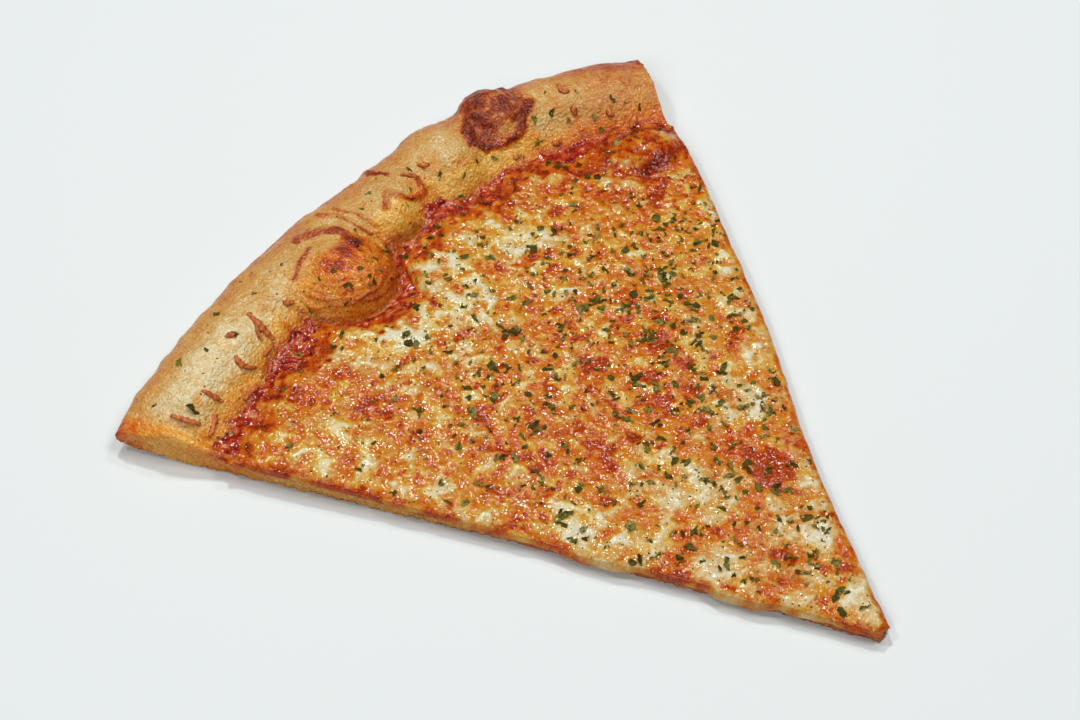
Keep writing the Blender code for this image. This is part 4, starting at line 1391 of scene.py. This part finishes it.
def dried_herb(settings):
    """Dried oregano and parsley: dull dark green and brown leaf bits, mottled, a little shiny."""
    material, tree, place = start_material("dried herb leaf")
    shade = attribute(tree, "shade")
    leaf = ramp(tree, shade, [(0.0, settings.dark), (0.35, "#645A20"), (0.7, "#807A30"), (1.0, settings.pale)])
    mottle = ramp(tree, speckle(tree, place, 0.9, 3.0), [(0.30, "#000000"), (0.55, "#FFFFFF")])
    veined = blend(tree, mottle, colour("#443A12"), leaf)
    shader = add(
        tree,
        "ShaderNodeBsdfPrincipled",
        {"Base Color": veined, "Roughness": 0.5, "IOR": 1.45, "Specular IOR Level": 0.08},
    )
    finish_material(tree, shader.outputs[0])
    return material


def browned_cheese(settings):
    """Shreds of cheese baked brown on the dry rim: orange to dark brown, crisp and slightly shiny."""
    material, tree, place = start_material("browned cheese")
    tone = speckle(tree, place, 1.4, 3.0, 0.6)
    brown = ramp(tree, tone, [(0.3, settings.brown), (0.45, "#B45016"), (0.6, settings.golden), (0.75, "#DC9E4C")])
    bump = add(tree, "ShaderNodeBump", {"Height": speckle(tree, place, 0.6), "Strength": 0.5, "Distance": 0.0003})
    shader = add(
        tree, "ShaderNodeBsdfPrincipled",
        {"Base Color": brown, "Roughness": 0.4, "IOR": 1.45, "Normal": bump.outputs[0]},
    )
    finish_material(tree, shader.outputs[0])
    return material


# ---------------------------------------------------------------- stage


def build_stage(settings):
    material, tree, _ = start_material("matt white table")
    shader = add(
        tree, "ShaderNodeBsdfPrincipled", {"Base Color": settings.table, "Roughness": 0.6, "IOR": 1.4}
    )
    finish_material(tree, shader.outputs[0])
    bpy.ops.mesh.primitive_plane_add(size=4.0, location=(0.0, 0.0, -0.0002))
    floor = bpy.context.object
    floor.name = "table_top"
    floor.data.materials.append(material)

    world = bpy.data.worlds.new("studio")
    world.use_nodes = True
    world.node_tree.nodes["Background"].inputs["Color"].default_value = (0.93, 0.97, 1.0, 1.0)
    world.node_tree.nodes["Background"].inputs["Strength"].default_value = 0.08
    bpy.context.scene.world = world

    def light(name, place, size, watts, tint):
        data = bpy.data.lights.new(name, "AREA")
        data.shape, data.size, data.energy, data.color = "DISK", size, watts, tint
        lamp = bpy.data.objects.new(name, data)
        bpy.context.scene.collection.objects.link(lamp)
        lamp.location = place
        lamp.rotation_euler = (Vector((0.0, 0.0, 0.0)) - Vector(place)).to_track_quat("-Z", "Y").to_euler()

    bpy.context.scene.view_settings.view_transform = "Standard"
    light("overhead_softbox", (0.55, -0.45, 1.40), 0.60, settings.overhead, (1.0, 0.99, 0.97))
    light("back_lamp", (0.40, 0.75, 1.35), 0.20, settings.back, (1.0, 0.99, 0.97))
    light("left_lamp", (-0.55, 0.65, 1.35), 0.20, 4.0, (1.0, 1.0, 1.0))
    light("right_lamp", (0.95, 0.20, 1.25), 0.20, 3.0, (1.0, 1.0, 1.0))
    light("front_fill", (-1.10, -0.40, 1.10), 0.80, settings.front, (1.0, 1.0, 1.0))

    camera = bpy.data.cameras.new("camera")
    camera.sensor_width, camera.lens = 36.0, 78.7
    holder = bpy.data.objects.new("camera", camera)
    bpy.context.scene.collection.objects.link(holder)
    forward = Vector((0.45877, 0.45889, -0.76088)).normalized()
    up = Vector((0.53272, 0.54331, 0.64886)).normalized()
    right = forward.cross(up).normalized()
    up = right.cross(forward)
    turn = Matrix((right, up, -forward)).transposed().to_4x4()
    holder.matrix_world = Matrix.Translation(Vector(to_frame((-356.51, -205.20, 597.64)))) @ turn
    bpy.context.scene.camera = holder


# ---------------------------------------------------------------- settings


def length_setting(name, description, default):
    return FloatProperty(name=name, description=description, default=default, min=0.0, subtype="DISTANCE",
                         unit="LENGTH", precision=5)


def colour_setting(name, description, default):
    return FloatVectorProperty(name=name, description=description, default=colour(default), size=4, min=0.0,
                               max=1.0, subtype="COLOR")


def power_setting(name, description, default):
    return FloatProperty(name=name, description=description, default=default, min=0.0, unit="POWER")


class CrustSettings(bpy.types.PropertyGroup):
    spacing: length_setting("Point Spacing", "Distance between the points of the rim and of the cut faces", 0.0006)
    lump_height: length_setting("Lump Height", "Height of the lumps in the skin of the rim", 0.0010)
    pale: colour_setting("Pale Skin", "Floury skin that has hardly browned", "#E4D3A6")
    golden: colour_setting("Golden Skin", "Skin baked golden", "#CB984A")
    burnt: colour_setting("Burnt Skin", "Darkest skin of the blisters", "#541C08")
    oily: colour_setting("Oily Skin", "Pale skin soaked in orange oil", "#E09A34")
    crumb: colour_setting("Crumb", "Crumb of the cut faces", "#DEAA56")


class SauceSettings(bpy.types.PropertyGroup):
    spacing: length_setting("Point Spacing", "Distance between the points of the sauce in view", 0.00075)
    thickness: length_setting("Thickness", "Thickness of the sauce away from its edge", 0.0011)
    red: colour_setting("Red", "Main red of the cooked sauce", "#961E0C")


class CheeseSettings(bpy.types.PropertyGroup):
    spacing: length_setting("Point Spacing", "Distance between the points of the cheese", 0.0006)
    thickness: length_setting("Thickness", "Thickness of the cheese away from its edge", 0.0022)
    relief: length_setting("Relief", "Height of the shreds and pools in the melted surface", 0.00036)
    cream: colour_setting("Cream", "Thick cheese that has hardly browned", "#DED0A2")
    milk: colour_setting("Milk", "Thick cheese that has stayed milky", "#DCD8C8")
    golden: colour_setting("Golden", "Cheese coloured by oil", "#CC8C28")
    orange: colour_setting("Orange", "Thin cheese soaked in orange oil", "#C45406")
    red: colour_setting("Red", "Places where the sauce comes through", "#A63604")


class HerbSettings(bpy.types.PropertyGroup):
    flakes: IntProperty(name="Flakes", description="Number of leaf flakes on the cheese", default=1250, min=0)
    specks: IntProperty(name="Specks", description="Number of specks of herb dust", default=3000, min=0)
    thickness: length_setting("Thickness", "Thickness of a flake", 0.00016)
    crinkle: FloatProperty(name="Crinkle", description="How far the flakes are bent and torn", default=3.0, min=0.0)
    dark: colour_setting("Dark Leaf", "Darkest flakes", "#4C4018")
    pale: colour_setting("Pale Leaf", "Palest flakes", "#A0965A")


class ShredSettings(bpy.types.PropertyGroup):
    thickness: length_setting("Thickness", "Width of a shred of cheese stuck to the rim", 0.0024)
    brown: colour_setting("Brown", "Crisp dark parts of a shred", "#7E2A0C")
    golden: colour_setting("Golden", "Softer golden parts of a shred", "#CC7424")


class StageSettings(bpy.types.PropertyGroup):
    table: colour_setting("Table", "Colour of the table top", "#E4EAEA")
    overhead: power_setting("Overhead Light", "Power of the large light overhead", 7.5)
    back: power_setting("Back Light", "Power of the light behind the slice, which makes the oil glint", 8.5)
    front: power_setting("Front Light", "Power of the soft light on the near cut", 7.5)


class PizzaSettings(bpy.types.PropertyGroup):
    crust: PointerProperty(type=CrustSettings, name="Crust", description="Sizes and colours of the crust")
    sauce: PointerProperty(type=SauceSettings, name="Sauce", description="Sizes and colours of the sauce")
    cheese: PointerProperty(type=CheeseSettings, name="Cheese", description="Sizes and colours of the cheese")
    herbs: PointerProperty(type=HerbSettings, name="Herbs", description="Number, sizes and colours of the herbs")
    shreds: PointerProperty(type=ShredSettings, name="Shreds", description="Size and colours of the shreds")
    stage: PointerProperty(type=StageSettings, name="Stage", description="Table colour and light")


# ---------------------------------------------------------------- operators


class PIZZA_OT_bake_crust(bpy.types.Operator):
    """Build the base and the rim with its bubbles, browned skin and cut faces"""

    bl_idname = "pizza.bake_crust"
    bl_label = "Bake Crust"

    def execute(self, context):
        build_crust(context.scene.pizza.crust)
        return {"FINISHED"}


class PIZZA_OT_spread_sauce(bpy.types.Operator):
    """Build the layer of tomato sauce, which shows along the rim"""

    bl_idname = "pizza.spread_sauce"
    bl_label = "Spread Sauce"

    def execute(self, context):
        build_sauce(context.scene.pizza.sauce)
        return {"FINISHED"}


class PIZZA_OT_melt_cheese(bpy.types.Operator):
    """Build the layer of melted cheese with its pools, browned places and runs over the cut"""

    bl_idname = "pizza.melt_cheese"
    bl_label = "Melt Cheese"

    def execute(self, context):
        build_cheese(context.scene.pizza.cheese)
        return {"FINISHED"}


class PIZZA_OT_strew_herbs(bpy.types.Operator):
    """Lay flakes and specks of dried herbs on the food"""

    bl_idname = "pizza.strew_herbs"
    bl_label = "Strew Herbs"

    def execute(self, context):
        build_herbs(context.scene.pizza.herbs)
        return {"FINISHED"}


class PIZZA_OT_brown_shreds(bpy.types.Operator):
    """Lay shreds of browned cheese on the rim"""

    bl_idname = "pizza.brown_shreds"
    bl_label = "Brown Shreds"

    def execute(self, context):
        build_rim_shreds(context.scene.pizza.shreds)
        return {"FINISHED"}


class PIZZA_OT_set_stage(bpy.types.Operator):
    """Set up the table top, the lights and the camera"""

    bl_idname = "pizza.set_stage"
    bl_label = "Set Stage"

    def execute(self, context):
        build_stage(context.scene.pizza.stage)
        return {"FINISHED"}


STEPS = (
    (PIZZA_OT_bake_crust, "crust"),
    (PIZZA_OT_spread_sauce, "sauce"),
    (PIZZA_OT_melt_cheese, "cheese"),
    (PIZZA_OT_strew_herbs, "herbs"),
    (PIZZA_OT_brown_shreds, "shreds"),
    (PIZZA_OT_set_stage, "stage"),
)


class PIZZA_PT_slice(bpy.types.Panel):
    """The steps that build the slice, each with its settings"""

    bl_idname = "PIZZA_PT_slice"
    bl_label = "Cheese Pizza Slice"
    bl_space_type = "VIEW_3D"
    bl_region_type = "UI"
    bl_category = "Pizza"

    def draw(self, context):
        for step, part in STEPS:
            settings = getattr(context.scene.pizza, part)
            box = self.layout.box()
            box.operator(step.bl_idname)
            for name in settings.__annotations__:
                box.prop(settings, name)


CLASSES = (
    CrustSettings, SauceSettings, CheeseSettings, HerbSettings, ShredSettings, StageSettings, PizzaSettings,
    *(step for step, _ in STEPS), PIZZA_PT_slice,
)


def register():
    for kind in CLASSES:
        bpy.utils.register_class(kind)
    bpy.types.Scene.pizza = PointerProperty(type=PizzaSettings)


def unregister():
    del bpy.types.Scene.pizza
    for kind in reversed(CLASSES):
        bpy.utils.unregister_class(kind)


def corners(box):
    return [[float(number) for number in corner] for corner in box]


def main():
    register()
    bpy.ops.pizza.bake_crust()
    bpy.ops.pizza.spread_sauce()
    bpy.ops.pizza.melt_cheese()
    bpy.ops.pizza.strew_herbs()
    bpy.ops.pizza.brown_shreds()
    bpy.ops.pizza.set_stage()


if __name__ == "__main__":
    main()
